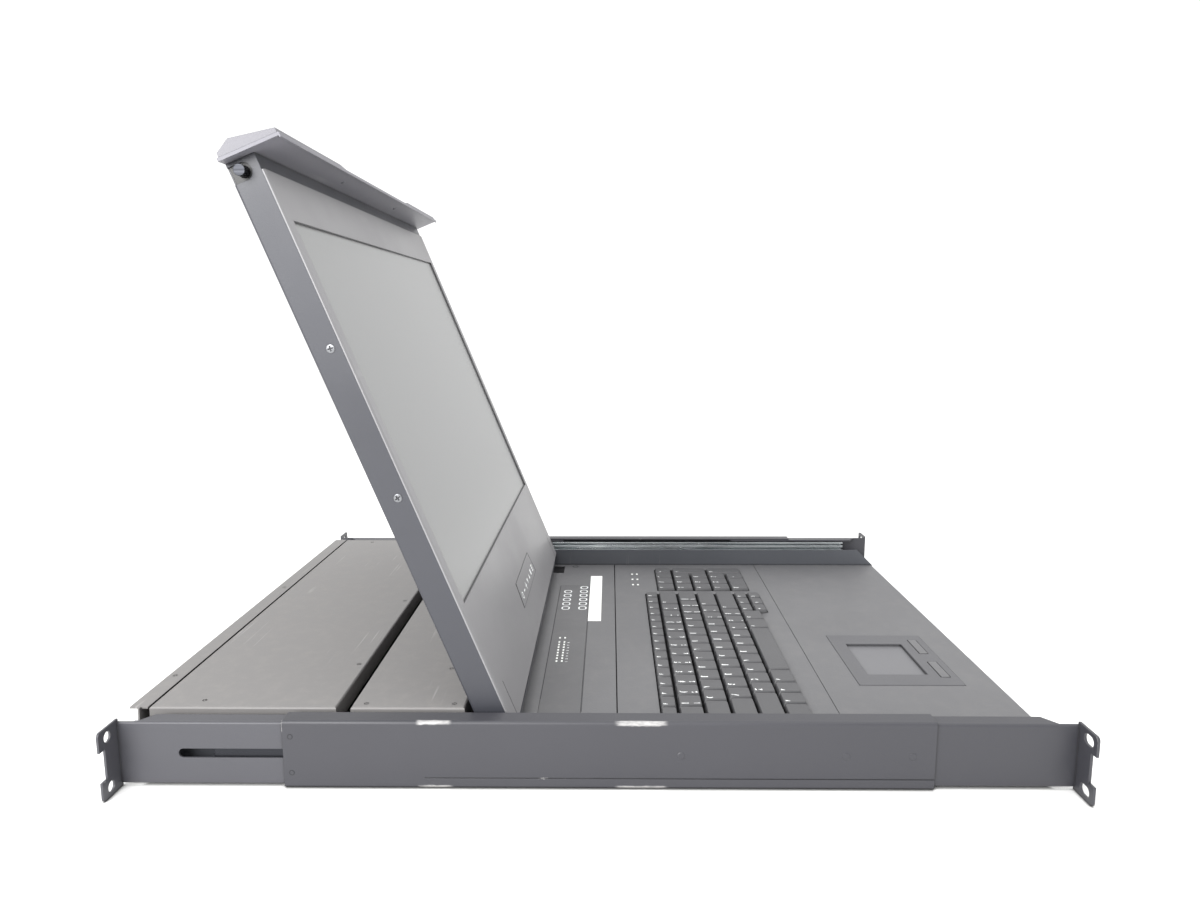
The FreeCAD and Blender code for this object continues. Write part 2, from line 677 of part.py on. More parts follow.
def ball_cage(web_depth, row, inset):
    """Thin cage with a pocket for each ball, and the two rows of balls that it spaces."""
    leg = CAGE_SHEET / 2
    back, inner, edge = slide_x(web_depth), slide_x(web_depth + CAGE_SHEET), slide_x(CAGE_LEG_DEPTH)
    top, foot = MID_Z + row, MID_Z - row
    section = [
        (back, foot - leg), (back, top + leg), (edge, top + leg), (edge, top - leg),
        (inner, top - leg), (inner, foot + leg), (edge, foot + leg), (edge, foot - leg),
    ]
    front_y = SLIDE_FRONT_Y + inset
    cage = along_y(section, (front_y, front_y + CAGE_LENGTH))
    first_y = front_y + (CAGE_LENGTH - (BALLS_PER_ROW - 1) * BALL_SPACING) / 2
    pockets = []
    balls = []
    for z in (foot, top):
        for index in range(BALLS_PER_ROW):
            centre = V(slide_x(BALL_DEPTH), first_y + index * BALL_SPACING, z)
            pocket = 2 * (BALL_RADIUS + POCKET_GAP)
            pockets.append(box(centred(centre.x, pocket), centred(centre.y, pocket),
                               centred(z, 2 * CAGE_SHEET)))
            balls.append(ball(centre))
    return Part.makeCompound([cut_all(cage, pockets)] + balls)


# ---------------------------------------------------------------- tray, covers and rear panel
def cover_tabs():
    """Tabs folded up from the tray floor, each with a flange under a cover screw."""
    tabs = []
    for x, y in COVER_TABS:
        x0, x1 = centred(x, TAB_REACH)
        profile = [
            (x1 - TRAY_SHEET, TRAY_FLOOR), (x1, TRAY_FLOOR), (x1, COVER_UNDERSIDE),
            (x0, COVER_UNDERSIDE), (x0, COVER_UNDERSIDE - TRAY_SHEET),
            (x1 - TRAY_SHEET, COVER_UNDERSIDE - TRAY_SHEET),
        ]
        tabs.append(along_y(profile, centred(y, TAB_WIDTH)))
    return both_sides(tabs)


def board_feet():
    places = [(x, y) for x in grown(BOARD_X, -BOARD_FOOT_INSET) for y in grown(BOARD_Y, -BOARD_FOOT_INSET)]
    return [box(centred(x, BOARD_FOOT), centred(y, BOARD_FOOT), (TRAY_FLOOR, TRAY_FLOOR + BOARD_LIFT))
            for x, y in places]


def drawer_tray():
    section = [
        (-TRAY_OUTER_X, TRAY_UNDERSIDE, TRAY_SHEET), (TRAY_OUTER_X, TRAY_UNDERSIDE, TRAY_SHEET),
        (TRAY_OUTER_X, TRAY_WALL_TOP), (TRAY_INNER_X, TRAY_WALL_TOP), (TRAY_INNER_X, TRAY_FLOOR),
        (-TRAY_INNER_X, TRAY_FLOOR), (-TRAY_INNER_X, TRAY_WALL_TOP), (-TRAY_OUTER_X, TRAY_WALL_TOP),
    ]
    tray = along_y(section, (FRONT_Y, REAR_Y))
    clear_z = TRAY_WALL_TOP + OVERSHOOT
    nose = [(FRONT_Y - OVERSHOOT, DECK_TOP), (FRONT_Y, DECK_TOP), (FRONT_Y + TRAY_NOSE, clear_z),
            (FRONT_Y - OVERSHOOT, clear_z)]
    tray = tray.cut(along_x(nose, (-EAR_SPAN / 2, EAR_SPAN / 2)))
    bulkhead = box((-TRAY_INNER_X, TRAY_INNER_X), (BULKHEAD_Y, BULKHEAD_Y + TRAY_SHEET),
                   (TRAY_FLOOR, COVER_UNDERSIDE))
    lip_x = COVER_HALF - COVER_SHEET - MOVING_GAP
    shoulder = box((lip_x, TRAY_INNER_X + OVERSHOOT),
                   grown((BULKHEAD_Y, BULKHEAD_Y + TRAY_SHEET), OVERSHOOT),
                   (TRAY_WALL_TOP - MOVING_GAP, COVER_TOP))
    bulkhead = cut_all(bulkhead, both_sides([shoulder]))
    return tray.fuse([bulkhead] + cover_tabs() + board_feet()).removeSplitter()


def top_cover(y_range):
    """Folded lid over the bay: a plate with skirts down all four sides."""
    x_range = (-COVER_HALF, COVER_HALF)
    cover = box(x_range, y_range, (COVER_TOP - COVER_SKIRT, COVER_TOP))
    cover = fillet_where(cover, COVER_BEND, lambda p: abs(p.z - COVER_TOP) < 1e-6)
    hollow = box(grown(x_range, -COVER_SHEET), grown(y_range, -COVER_SHEET),
                 (COVER_TOP - COVER_SKIRT - OVERSHOOT, COVER_UNDERSIDE))
    return cover.cut(hollow)


def port_places():
    columns = [PORT_FIRST_X + column * PORT_PITCH for column in range(PORT_COLUMNS)]
    places = [(x, z) for x in columns for z in PORT_ROWS_Z]
    return places + [(CONSOLE_PORT_X, PORT_ROWS_Z[0])]


def port_shell(x, z, y_range):
    """D shaped connector mouth with its corners taken off, wider along its top."""
    top, foot, half = PORT_SHELL_WIDTH / 2, PORT_SHELL_FOOT / 2, PORT_SHELL_HEIGHT / 2
    corner = PORT_SHELL_CORNER
    right = [(foot - corner, -half), (foot, -half + corner), (top, half - corner), (top - corner, half)]
    left = [(-dx, dz) for dx, dz in reversed(right)]
    return along_y([(x + dx, z + dz) for dx, dz in right + left], y_range)


def video_connectors():
    """Female connectors, each with its flange on the outside of the panel."""
    connectors = []
    for x, z in port_places():
        flange = box(centred(x, PORT_FLANGE_WIDTH), (PANEL_FACE_Y, PANEL_FACE_Y + PORT_FLANGE_SHEET),
                     centred(z, PORT_FLANGE_HEIGHT))
        connectors.append(flange.fuse(port_shell(x, z, (PANEL_FACE_Y, PANEL_FACE_Y + PORT_SHELL_REACH))))
    return connectors


def rear_panel():
    """Connector panel with a strip along its top that meets the rear cover."""
    z_range = (TRAY_FLOOR, COVER_TOP)
    plate = box((-PANEL_HALF, PANEL_HALF), (PANEL_INNER_Y, PANEL_FACE_Y), z_range)
    strip = box((-COVER_HALF, COVER_HALF), (STRIP_FRONT_Y, REAR_Y), (COVER_UNDERSIDE, COVER_TOP))
    through = grown((PANEL_INNER_Y, PANEL_FACE_Y), OVERSHOOT)
    inlet_hole = box(centred(INLET_X, INLET_BODY[0]), through, centred(MID_Z, INLET_BODY[1]))
    rocker_hole = box(centred(ROCKER_X, ROCKER_WELL[0] + 2 * SHELL_WALL), through,
                      centred(MID_Z, ROCKER_WELL[1] + 2 * SHELL_WALL))
    return cut_all(plate.fuse(strip).removeSplitter(), [inlet_hole, rocker_hole])


def power_inlet():
    """Three blade mains inlet: flange, body and an open cavity with the blades in it."""
    flange = box(centred(INLET_X, INLET_FLANGE[0]), (PANEL_FACE_Y, PANEL_FACE_Y + INLET_FLANGE[2]),
                 centred(MID_Z, INLET_FLANGE[1]))
    flange_rear = PANEL_FACE_Y + INLET_FLANGE[2]
    body = box(centred(INLET_X, INLET_BODY[0]), (PANEL_FACE_Y - INLET_BODY[2], PANEL_FACE_Y),
               centred(MID_Z, INLET_BODY[1]))
    half_width, half_height = INLET_CAVITY[0] / 2, INLET_CAVITY[1] / 2
    floor_y = flange_rear - INLET_CAVITY[2]
    cavity = box((INLET_X - half_width, INLET_X + half_width), (floor_y, flange_rear + OVERSHOOT),
                 (MID_Z - half_height, MID_Z + half_height))
    housing = flange.fuse(body).removeSplitter().cut(cavity)
    ceiling = MID_Z + half_height
    corners = []
    for side in (-1, 1):
        wall_x = INLET_X + side * half_width
        outline = [(wall_x, ceiling), (wall_x - side * INLET_CORNER, ceiling),
                   (wall_x, ceiling - INLET_CORNER)]
        corners.append(along_y(outline, (floor_y, flange_rear)))
    blades = [
        box(centred(INLET_X + dx, BLADE[0]), (floor_y, floor_y + BLADE[2]), centred(MID_Z + dz, BLADE[1]))
        for dx, dz in ((-BLADE_SPACING, -LIVE_BLADE_DROP), (0, EARTH_BLADE_RISE),
                       (BLADE_SPACING, -LIVE_BLADE_DROP))
    ]
    return [housing] + corners + blades


def switch_frame():
    """Open frame that the power rocker tips in."""
    rim = box(centred(ROCKER_X, ROCKER_FRAME[0]), (PANEL_FACE_Y, PANEL_FACE_Y + ROCKER_FRAME[2]),
              centred(MID_Z, ROCKER_FRAME[1]))
    cup = box(centred(ROCKER_X, ROCKER_WELL[0] + 2 * SHELL_WALL),
              (PANEL_FACE_Y - ROCKER_WELL[2] - SHELL_WALL, PANEL_FACE_Y),
              centred(MID_Z, ROCKER_WELL[1] + 2 * SHELL_WALL))
    well = box(centred(ROCKER_X, ROCKER_WELL[0]),
               (PANEL_FACE_Y - ROCKER_WELL[2], PANEL_FACE_Y + ROCKER_FRAME[2] + OVERSHOOT),
               centred(MID_Z, ROCKER_WELL[1]))
    pin_y = PANEL_FACE_Y - ROCKER_WELL[2] / 2
    half = ROCKER_WELL[0] / 2 + SHELL_WALL
    bore = cylinder(V(ROCKER_X - half, pin_y, MID_Z), ROCKER_PIN_RADIUS + ROCKER_PIN_CLEARANCE,
                    2 * half, X_AXIS)
    return rim.fuse(cup).removeSplitter().cut(well).cut(bore)


def power_rocker():
    """Paddle with two faces that meet in a shallow valley, tipped to its off side."""
    pin_y = PANEL_FACE_Y - ROCKER_WELL[2] / 2
    half_height = ROCKER_WELL[1] / 2 - ROCKER_END_GAP
    face = pin_y + ROCKER_FACE
    tip = face + half_height * math.tan(math.radians(ROCKER_THROW))
    low, high = centred(MID_Z, 2 * half_height)
    outline = [
        (pin_y, MID_Z - ROCKER_ROOT), (tip - ROCKER_SKIRT, low), (tip, low), (face, MID_Z),
        (tip, high), (tip - ROCKER_SKIRT, high), (pin_y, MID_Z + ROCKER_ROOT),
    ]
    paddle = along_x(outline, centred(ROCKER_X, ROCKER_WELL[0] - 2 * ROCKER_SIDE_GAP))
    pin_length = ROCKER_WELL[0] + 2 * (SHELL_WALL - SEAT_GAP)
    pin = cylinder(V(ROCKER_X - pin_length / 2, pin_y, MID_Z), ROCKER_PIN_RADIUS, pin_length, X_AXIS)
    paddle = paddle.fuse(pin)
    paddle.rotate(V(ROCKER_X, pin_y, MID_Z), X_AXIS, ROCKER_THROW)
    return paddle


def switch_board():
    """Port switching board on its standoffs, with its larger chips."""
    top = TRAY_FLOOR + BOARD_LIFT + BOARD_THICKNESS
    board = box(BOARD_X, BOARD_Y, (TRAY_FLOOR + BOARD_LIFT, top))
    width, depth, height = SWITCH_CHIP
    chips = [box(centred(x, width), centred(sum(BOARD_Y) / 2, depth), (top, top + height))
             for x in spread(BOARD_X, SWITCH_CHIPS)]
    return [board] + chips


def power_supply():
    """Enclosed supply with slotted vents in its top."""
    height_range = (TRAY_FLOOR, TRAY_FLOOR + SUPPLY_HEIGHT)
    case = box(SUPPLY_X, SUPPLY_Y, height_range)
    hollow = box(grown(SUPPLY_X, -TRAY_SHEET), grown(SUPPLY_Y, -TRAY_SHEET),
                 grown(height_range, -TRAY_SHEET))
    count = int((SUPPLY_Y[1] - SUPPLY_Y[0] - VENT_MARGIN) / VENT_PITCH)
    vent_top = (height_range[1] - 2 * TRAY_SHEET, height_range[1] + OVERSHOOT)
    vents = []
    for index in range(count):
        y = SUPPLY_Y[0] + VENT_MARGIN + VENT_PITCH * index
        vents.append(box(grown(SUPPLY_X, -VENT_MARGIN), centred(y, VENT_WIDTH), vent_top))
    return cut_all(case.cut(hollow), vents)


# ---------------------------------------------------------------- deck shells
def deck_shell(y_range, wall):
    """Moulded panel, open below, that stands on the tray floor."""
    x_range = (-DECK_HALF, DECK_HALF)
    z_range = (TRAY_FLOOR, DECK_TOP)
    hollow = box(grown(x_range, -SHELL_WALL), grown(y_range, -SHELL_WALL),
                 (TRAY_FLOOR - OVERSHOOT, DECK_TOP - wall))
    return box(x_range, y_range, z_range).cut(hollow)


def on_palm_rest(middle_x, width, inset, depth):
    """X and Y ranges of a place on the palm rest, its front edge at an inset."""
    return centred(middle_x, width), (FRONT_Y + inset, FRONT_Y + inset + depth)


def button_places():
    return [on_palm_rest(x, BUTTON_SIZE[0], BUTTONS_INSET, BUTTON_SIZE[1])
            for x in centred(BUTTONS_MIDDLE_X, BUTTON_SPACING)]


def palm_rest():
    shell = deck_shell((FRONT_Y, PALM_SEAM_Y - SEAM_WIDTH / 2), PALM_WALL)
    shell = fillet_where(shell, PALM_NOSE,
                         lambda p: abs(p.z - DECK_TOP) < 1e-6 and abs(p.y - FRONT_Y) < 1e-6)
    above = DECK_TOP + OVERSHOOT
    below = PALM_UNDERSIDE - OVERSHOOT
    frame = box(*on_palm_rest(PAD_MIDDLE_X, PAD_FRAME_SIZE[0], PAD_FRAME_INSET, PAD_FRAME_SIZE[1]),
                (PAD_FRAME_FLOOR, above))
    mouth = box(*on_palm_rest(PAD_MIDDLE_X, PAD_SIZE[0], PAD_INSET, PAD_SIZE[1]), (below, above))
    slots = [box(grown(x, BUTTON_GAP), grown(y, BUTTON_GAP), (below, above)) for x, y in button_places()]
    return cut_all(shell, [frame, mouth] + slots)


def touchpad_surface():
    """Touch plate held under the palm rest, raised into its opening."""
    x_range, y_range = on_palm_rest(PAD_MIDDLE_X, PAD_SIZE[0], PAD_INSET, PAD_SIZE[1])
    lip = box(grown(x_range, PAD_LIP), grown(y_range, PAD_LIP),
              (PALM_UNDERSIDE - PAD_SIZE[2], PALM_UNDERSIDE))
    face = box(grown(x_range, -SEAT_GAP), grown(y_range, -SEAT_GAP),
               (PALM_UNDERSIDE, PAD_FRAME_FLOOR - PAD_DROP))
    return lip.fuse(face)


def touchpad_button(place):
    """Clicker cap with a lip that stops it under the palm rest."""
    x_range, y_range = place
    seat = PALM_UNDERSIDE - MOVING_GAP
    cap = box(x_range, y_range, (seat, PAD_FRAME_FLOOR + BUTTON_PROUD))
    lip = box(grown(x_range, BUTTON_LIP), grown(y_range, BUTTON_LIP), (seat - BUTTON_LIP, seat))
    return cap.fuse(lip)


def key_wells(margin):
    """Outlines round the main keys with the lowered arrow keys, and round the number pad."""
    main_x = grown((KEYS_LEFT_X, KEYS_RIGHT_X), margin)
    main_y = grown((KEYS_FRONT_Y, KEYS_REAR_Y), margin)
    arrows_x = ARROWS_LEFT_X - margin
    arrows_y = ARROWS_FRONT_Y - margin
    main_outline = [
        (main_x[0], main_y[0]), (arrows_x, main_y[0]), (arrows_x, arrows_y),
        (main_x[1], arrows_y), (main_x[1], main_y[1]), (main_x[0], main_y[1]),
    ]
    numpad = rectangle(grown((NUMPAD_LEFT_X, NUMPAD_RIGHT_X), margin),
                       grown((KEYS_FRONT_Y, NUMBER_ROW_Y), margin))
    return main_outline, numpad


def keyboard_frame():
    """Moulded frame whose wells have walls down to the key bed."""
    shell = deck_shell((PALM_SEAM_Y + SEAM_WIDTH / 2, KEYBOARD_SEAM_Y - WIDE_SEAM / 2), SHELL_WALL)
    walls = [along_z(outline, (KEY_BED_TOP, DECK_TOP)) for outline in key_wells(WELL_MARGIN + SHELL_WALL)]
    wells = [along_z(outline, (TRAY_FLOOR, DECK_TOP + OVERSHOOT)) for outline in key_wells(WELL_MARGIN)]
    edge_y = KEYS_FRONT_Y - WELL_MARGIN
    edge_z = DECK_TOP - WELL_BEVEL_DEPTH
    above = DECK_TOP + OVERSHOOT
    ramp = [(edge_y + OVERSHOOT, edge_z), (edge_y, edge_z), (edge_y - WELL_BEVEL, DECK_TOP),
            (edge_y - WELL_BEVEL, above), (edge_y + OVERSHOOT, above)]
    bevel = along_x(ramp, (KEYS_LEFT_X - WELL_MARGIN, ARROWS_LEFT_X - WELL_MARGIN))
    return cut_all(shell.fuse(walls).removeSplitter(), wells + [bevel])


def overlay_place():
    front = KEYBOARD_SEAM_Y + OVERLAY_INSET
    return (OVERLAY_LEFT_INSET - DECK_HALF, DECK_HALF - OVERLAY_RIGHT_INSET), (front, front + OVERLAY_DEPTH)


def control_panel():
    """Panel behind the keyboard, with the overlay's pocket and open recesses for the hinges."""
    shell = deck_shell((KEYBOARD_SEAM_Y + WIDE_SEAM / 2, PANEL_REAR_Y), SHELL_WALL)
    x_range, y_range = overlay_place()
    above = DECK_TOP + OVERSHOOT
    pocket = box(grown(x_range, OVERLAY_GAP), grown(y_range, OVERLAY_GAP),
                 (DECK_TOP - OVERLAY_THICKNESS, above))
    recess = box(HINGE_NOTCH_X, (HINGE_Y - HINGE_RECESS_REACH, PANEL_REAR_Y + OVERSHOOT),
                 (TRAY_FLOOR - OVERSHOOT, above))
    return cut_all(shell, [pocket] + both_sides([recess]))


# ---------------------------------------------------------------- lights, overlay and label
def light(x, y, size):
    return box(centred(x, size[0]), centred(y, size[1]), (DECK_TOP, DECK_TOP + LIGHT_THICKNESS))


def indicator_lights():
    """Two lights for each port, two heads over their columns, and the keyboard's status lights."""
    columns = [KEYBOARD_SEAM_Y + offset for offset in PORT_LIGHT_COLUMNS]
    rows = [HEAD_LIGHTS_X] + [PORT_LIGHTS_X - row * PORT_LIGHT_PITCH for row in range(PORT_COLUMNS)]
    lights = [light(x, y, PORT_LIGHT) for x in rows for y in columns]
    for column in range(3):
        x = NUMPAD_RIGHT_X - STATUS_LIGHTS_INSET - column * STATUS_LIGHT_PITCH
        lights += [light(x, KEYBOARD_SEAM_Y - offset, STATUS_LIGHT) for offset in STATUS_LIGHT_ROWS]
    return lights


def control_overlay():
    return box(*overlay_place(), (DECK_TOP - OVERLAY_THICKNESS, DECK_TOP))


def blank_label():
    right, front = DECK_HALF - LABEL_RIGHT_INSET, KEYBOARD_SEAM_Y + LABEL_INSET
    width, depth, thickness = LABEL_SIZE
    return box((right - width, right), (front, front + depth), (DECK_TOP, DECK_TOP + thickness))


# ---------------------------------------------------------------- keyboard
def key_bed():
    """Key plate, folded down all round to stand on the tray floor."""
    x_range = grown((KEYS_LEFT_X, NUMPAD_RIGHT_X), KEY_BED_LAP)
    y_range = grown((ARROWS_FRONT_Y, KEYS_REAR_Y), KEY_BED_LAP)
    plate = box(x_range, y_range, (TRAY_FLOOR, KEY_BED_TOP))
    hollow = box(grown(x_range, -KEY_BED_WALL), grown(y_range, -KEY_BED_WALL),
                 (TRAY_FLOOR - OVERSHOOT, KEY_BED_TOP - KEY_BED_WALL))
    return plate.cut(hollow)


def keycap(x_range, y_range):
    """Tapered cap: a full size foot and a smaller top."""
    rings = []
    for inset, z in ((KEY_GAP / 2, KEY_BASE), (KEY_GAP / 2 + KEY_TOP_INSET, KEY_TOP)):
        (x0, x1), (y0, y1) = grown(x_range, -inset), grown(y_range, -inset)
        rings.append([V(x0, y0, z), V(x1, y0, z), V(x1, y1, z), V(x0, y1, z)])
    return flat_sided(rings)


def key_row(left_x, rear_y, depth, widths, unit=KEY_PITCH_X):
    """Caps side by side from the left; widths are in key units."""
    caps = []
    x = left_x
    for width in widths:
        caps.append(keycap((x, x + width * unit), (rear_y - depth, rear_y)))
        x += width * unit
    return caps


def main_row_y(index):
    """Rear edge of a full depth row; 0 is the number row."""
    return NUMBER_ROW_Y - index * KEY_PITCH_Y


def number_pad():
    """Seventeen keys with tall plus and enter keys and a double zero."""
    caps = key_row(NUMPAD_LEFT_X, main_row_y(0), KEY_PITCH_Y, [1] * NUMPAD_UNITS)
    for index in (1, 2, 3):
        caps += key_row(NUMPAD_LEFT_X, main_row_y(index), KEY_PITCH_Y, [1] * (NUMPAD_UNITS - 1))
    caps += key_row(NUMPAD_LEFT_X, main_row_y(4), KEY_PITCH_Y, [2, 1])
    tall_x = NUMPAD_RIGHT_X - KEY_PITCH_X
    for index in (1, 3):
        caps += key_row(tall_x, main_row_y(index), 2 * KEY_PITCH_Y, [1])
    return caps


def arrow_keys():
    caps = []
    for rear_y in (ARROWS_REAR_Y, ARROWS_REAR_Y - ARROW_ROW_DEPTH):
        caps += key_row(ARROWS_LEFT_X, rear_y, ARROW_ROW_DEPTH, [1] * ARROW_UNITS)
    return caps


FUNCTION_KEYS = 16
SPACE_UNITS = 5.0
LEFT_MODIFIERS = (1.25, 1, 1, 1.25)
RIGHT_MODIFIERS = (1.25, 1.25)
LETTER_ROWS = {
    "number_keys": [1] * 13 + [2],
    "upper_letter_keys": [1.5] + [1] * 12 + [1.5],
    "home_letter_keys": [1.75] + [1] * 11 + [2.25],
    "lower_letter_keys": [2.25] + [1] * 10 + [2.75],
}


def save_keys():
    function_unit = MAIN_UNITS * KEY_PITCH_X / FUNCTION_KEYS
    save("function_keys",
         *key_row(KEYS_LEFT_X, KEYS_REAR_Y, FUNCTION_ROW_DEPTH, [1] * FUNCTION_KEYS, function_unit))
    for index, (node, widths) in enumerate(LETTER_ROWS.items()):
        save(node, *key_row(KEYS_LEFT_X, main_row_y(index), KEY_PITCH_Y, widths))
    space_x = KEYS_LEFT_X + sum(LEFT_MODIFIERS) * KEY_PITCH_X
    right_x = space_x + SPACE_UNITS * KEY_PITCH_X
    bottom_y = main_row_y(4)
    save("modifier_keys", *key_row(KEYS_LEFT_X, bottom_y, KEY_PITCH_Y, LEFT_MODIFIERS),
         *key_row(right_x, bottom_y, KEY_PITCH_Y, RIGHT_MODIFIERS))
    save("space_bar", *key_row(space_x, bottom_y, KEY_PITCH_Y, [SPACE_UNITS]))
    save("arrow_keys", *arrow_keys())
    save("number_pad_keys", *number_pad())


# ---------------------------------------------------------------- hinges
def hinge_brackets():
    """Bearing on an arm that comes up behind the hinge line from the tray floor."""
    arm_front = HINGE_ARM_REAR_Y - HINGE_ARM_THICKNESS
    arm = [
        (HINGE_Y, HINGE_Z - KNUCKLE_RADIUS), (arm_front, HINGE_Z - KNUCKLE_RADIUS), (arm_front, TRAY_FLOOR),
        (HINGE_ARM_REAR_Y, TRAY_FLOOR), (HINGE_ARM_REAR_Y, HINGE_Z, HINGE_ARM_CORNER), (HINGE_Y, HINGE_Z),
    ]
    centre = V(KNUCKLE_X[0], HINGE_Y, HINGE_Z)
    length = KNUCKLE_X[1] - KNUCKLE_X[0]
    knuckle = cylinder(centre, KNUCKLE_RADIUS, length, X_AXIS)
    bore = cylinder(centre - X_AXIS * OVERSHOOT, PIN_RADIUS + PIN_CLEARANCE, length + 2 * OVERSHOOT, X_AXIS)
    bracket_shape = along_x(arm, KNUCKLE_X).fuse(knuckle).removeSplitter().cut(bore)
    return both_sides([bracket_shape])


def lid_block(x_range, v_range, u_range):
    return box(x_range, (-v_range[1], -v_range[0]), u_range)


def lid_rod(x, u, v, radius, length):
    return cylinder(V(x, -v, u), radius, length, X_AXIS)


def posed(shapes):
    """Lean the lid's pieces back on the hinge line and set them in place."""
    placed = []
    for shape in shapes:
        piece = shape.copy()
        piece.rotate(V(0, 0, 0), X_AXIS, -LID_LEAN)
        piece.translate(V(0, HINGE_Y, HINGE_Z))
        placed.append(piece)
    return placed


def hinge_pins():
    """Pin and leaf of each hinge, screwed inside the lid."""
    knuckle = lid_rod(LEAF_X[0], 0, 0, LEAF_KNUCKLE_RADIUS, LEAF_X[1] - LEAF_X[0])
    leaf = lid_block(LEAF_X, (SHELL_BACK_V, SHELL_BACK_V + LEAF_SHEET), (LID_FOOT + LID_SHEET, LEAF_TOP))
    bridge = lid_block(LEAF_X, (SHELL_BACK_V, 0), (-LEAF_SHEET, LEAF_SHEET))
    pin = lid_rod(LEAF_X[0], 0, 0, PIN_RADIUS, KNUCKLE_X[1] + PIN_PROUD - LEAF_X[0])
    return both_sides([knuckle.fuse([leaf, bridge, pin]).removeSplitter()])


# ---------------------------------------------------------------- lid
def lid_shell():
    """Folded back of the lid, its neck and its foot."""
    rear_y, face_y = LID_BACK, -SHELL_FACE_V
    outline = [(-LID_HALF, face_y), (LID_HALF, face_y),
               (LID_HALF, rear_y, LID_BEND), (-LID_HALF, rear_y, LID_BEND)]
    shell = along_z(outline, (LID_FOOT, LID_TOP))
    inner_x = grown((-LID_HALF, LID_HALF), -LID_SHEET)
    neck_foot = BEZEL_TOP - LID_SHEET
    behind_bezel = lid_block(inner_x, (SHELL_BACK_V, SHELL_FACE_V + OVERSHOOT),
                             (LID_FOOT + LID_SHEET, neck_foot))
    neck = lid_block(inner_x, (SHELL_BACK_V, SHELL_FACE_V - LID_SHEET),
                     (neck_foot - OVERSHOOT, LID_TOP - LID_SHEET))
    through = (-LID_BACK - OVERSHOOT, SHELL_FACE_V + OVERSHOOT)
    hinge_notch = lid_block(HINGE_NOTCH_X, through, (LID_FOOT - OVERSHOOT, HINGE_NOTCH_TOP))
    wall = grown((LID_INNER_X, LID_HALF), OVERSHOOT)
    notch_u = centred(LATCH_U, 2 * LATCH_NOTCH_RADIUS)
    latch_notch = lid_block(wall, (through[0], LATCH_V), notch_u)
    latch_round = lid_rod(wall[0], LATCH_U, LATCH_V, LATCH_NOTCH_RADIUS, wall[1] - wall[0])
    return cut_all(shell, [behind_bezel, neck] + both_sides([hinge_notch, latch_notch, latch_round]))


def screen_bezel():
    """Front plate of the lid with chamfered long edges and the screen window."""
    back_y, face_y = -SHELL_FACE_V, -LID_FACE
    outline = [
        (-LID_HALF, back_y), (-LID_HALF, face_y + BEZEL_CHAMFER / 2), (-LID_HALF + BEZEL_CHAMFER * 2, face_y),
        (LID_HALF - BEZEL_CHAMFER * 2, face_y), (LID_HALF, face_y + BEZEL_CHAMFER / 2), (LID_HALF, back_y),
    ]
    plate = along_z(outline, (BEZEL_FOOT, BEZEL_TOP))
    window = lid_block(WINDOW_X, grown((SHELL_FACE_V, LID_FACE), OVERSHOOT), WINDOW_U)
    groove = lid_block(centred(LID_HALF - GROOVE_INSET, GROOVE_WIDTH),
                       (LID_FACE - GROOVE_DEPTH, LID_FACE + OVERSHOOT),
                       (BEZEL_FOOT - OVERSHOOT, BEZEL_FOOT + GROOVE_LENGTH))
    return cut_all(plate, [window] + both_sides([groove]))


def lcd_panel():
    face_v = SHELL_FACE_V - SEAT_GAP
    return lid_block(grown(WINDOW_X, SCREEN_LAP), (face_v - SCREEN_THICKNESS, face_v),
                     grown(WINDOW_U, SCREEN_LAP))


def display_board():
    """Screen driver board on standoffs behind the lower bezel."""
    back_v = SHELL_BACK_V + DISPLAY_BOARD_LIFT
    front_v = back_v + BOARD_THICKNESS
    board = lid_block(DISPLAY_BOARD_X, (back_v, front_v), DISPLAY_BOARD_U)
    feet = [
        lid_block(centred(x, BOARD_FOOT), (SHELL_BACK_V, back_v), centred(u, BOARD_FOOT))
        for x in grown(DISPLAY_BOARD_X, -BOARD_FOOT) for u in grown(DISPLAY_BOARD_U, -BOARD_FOOT)
    ]
    width, height, thickness = DISPLAY_CHIP
    chip_u = centred(sum(DISPLAY_BOARD_U) / 2, height)
    chips = [lid_block(centred(x, width), (front_v, front_v + thickness), chip_u)
             for x in spread(DISPLAY_BOARD_X, DISPLAY_CHIPS)]
    return [board] + feet + chips


def menu_strip():
    """Thin membrane with sloping ends for the screen's menu keys."""
    (x0, x1), (foot_x0, foot_x1) = MENU_STRIP_X, grown(MENU_STRIP_X, MENU_STRIP_SPLAY)
    foot = BEZEL_FOOT + MENU_STRIP_LIFT
    top = foot + MENU_STRIP_HEIGHT
    corners = [(foot_x0, foot), (foot_x1, foot), (x1, top), (x0, top)]
    return along_y(corners, (-LID_FACE - MENU_STRIP_THICKNESS, -LID_FACE))


# ---------------------------------------------------------------- handle and latches
def handle_plate():
    """Plate along the top of the lid with a lip turned down at its front edge."""
    front_y = -HANDLE_FRONT_V
    section = [
        (-HANDLE_BACK_V, LID_TOP), (-HANDLE_BACK_V, HANDLE_TOP_U), (front_y, HANDLE_TOP_U, 1.0),
        (front_y, LID_TOP - HANDLE_LIP), (front_y + HANDLE_LIP, LID_TOP - HANDLE_LIP),
        (front_y + HANDLE_LIP, LID_TOP),
    ]
    return along_x(section, (-HANDLE_HALF, HANDLE_HALF))


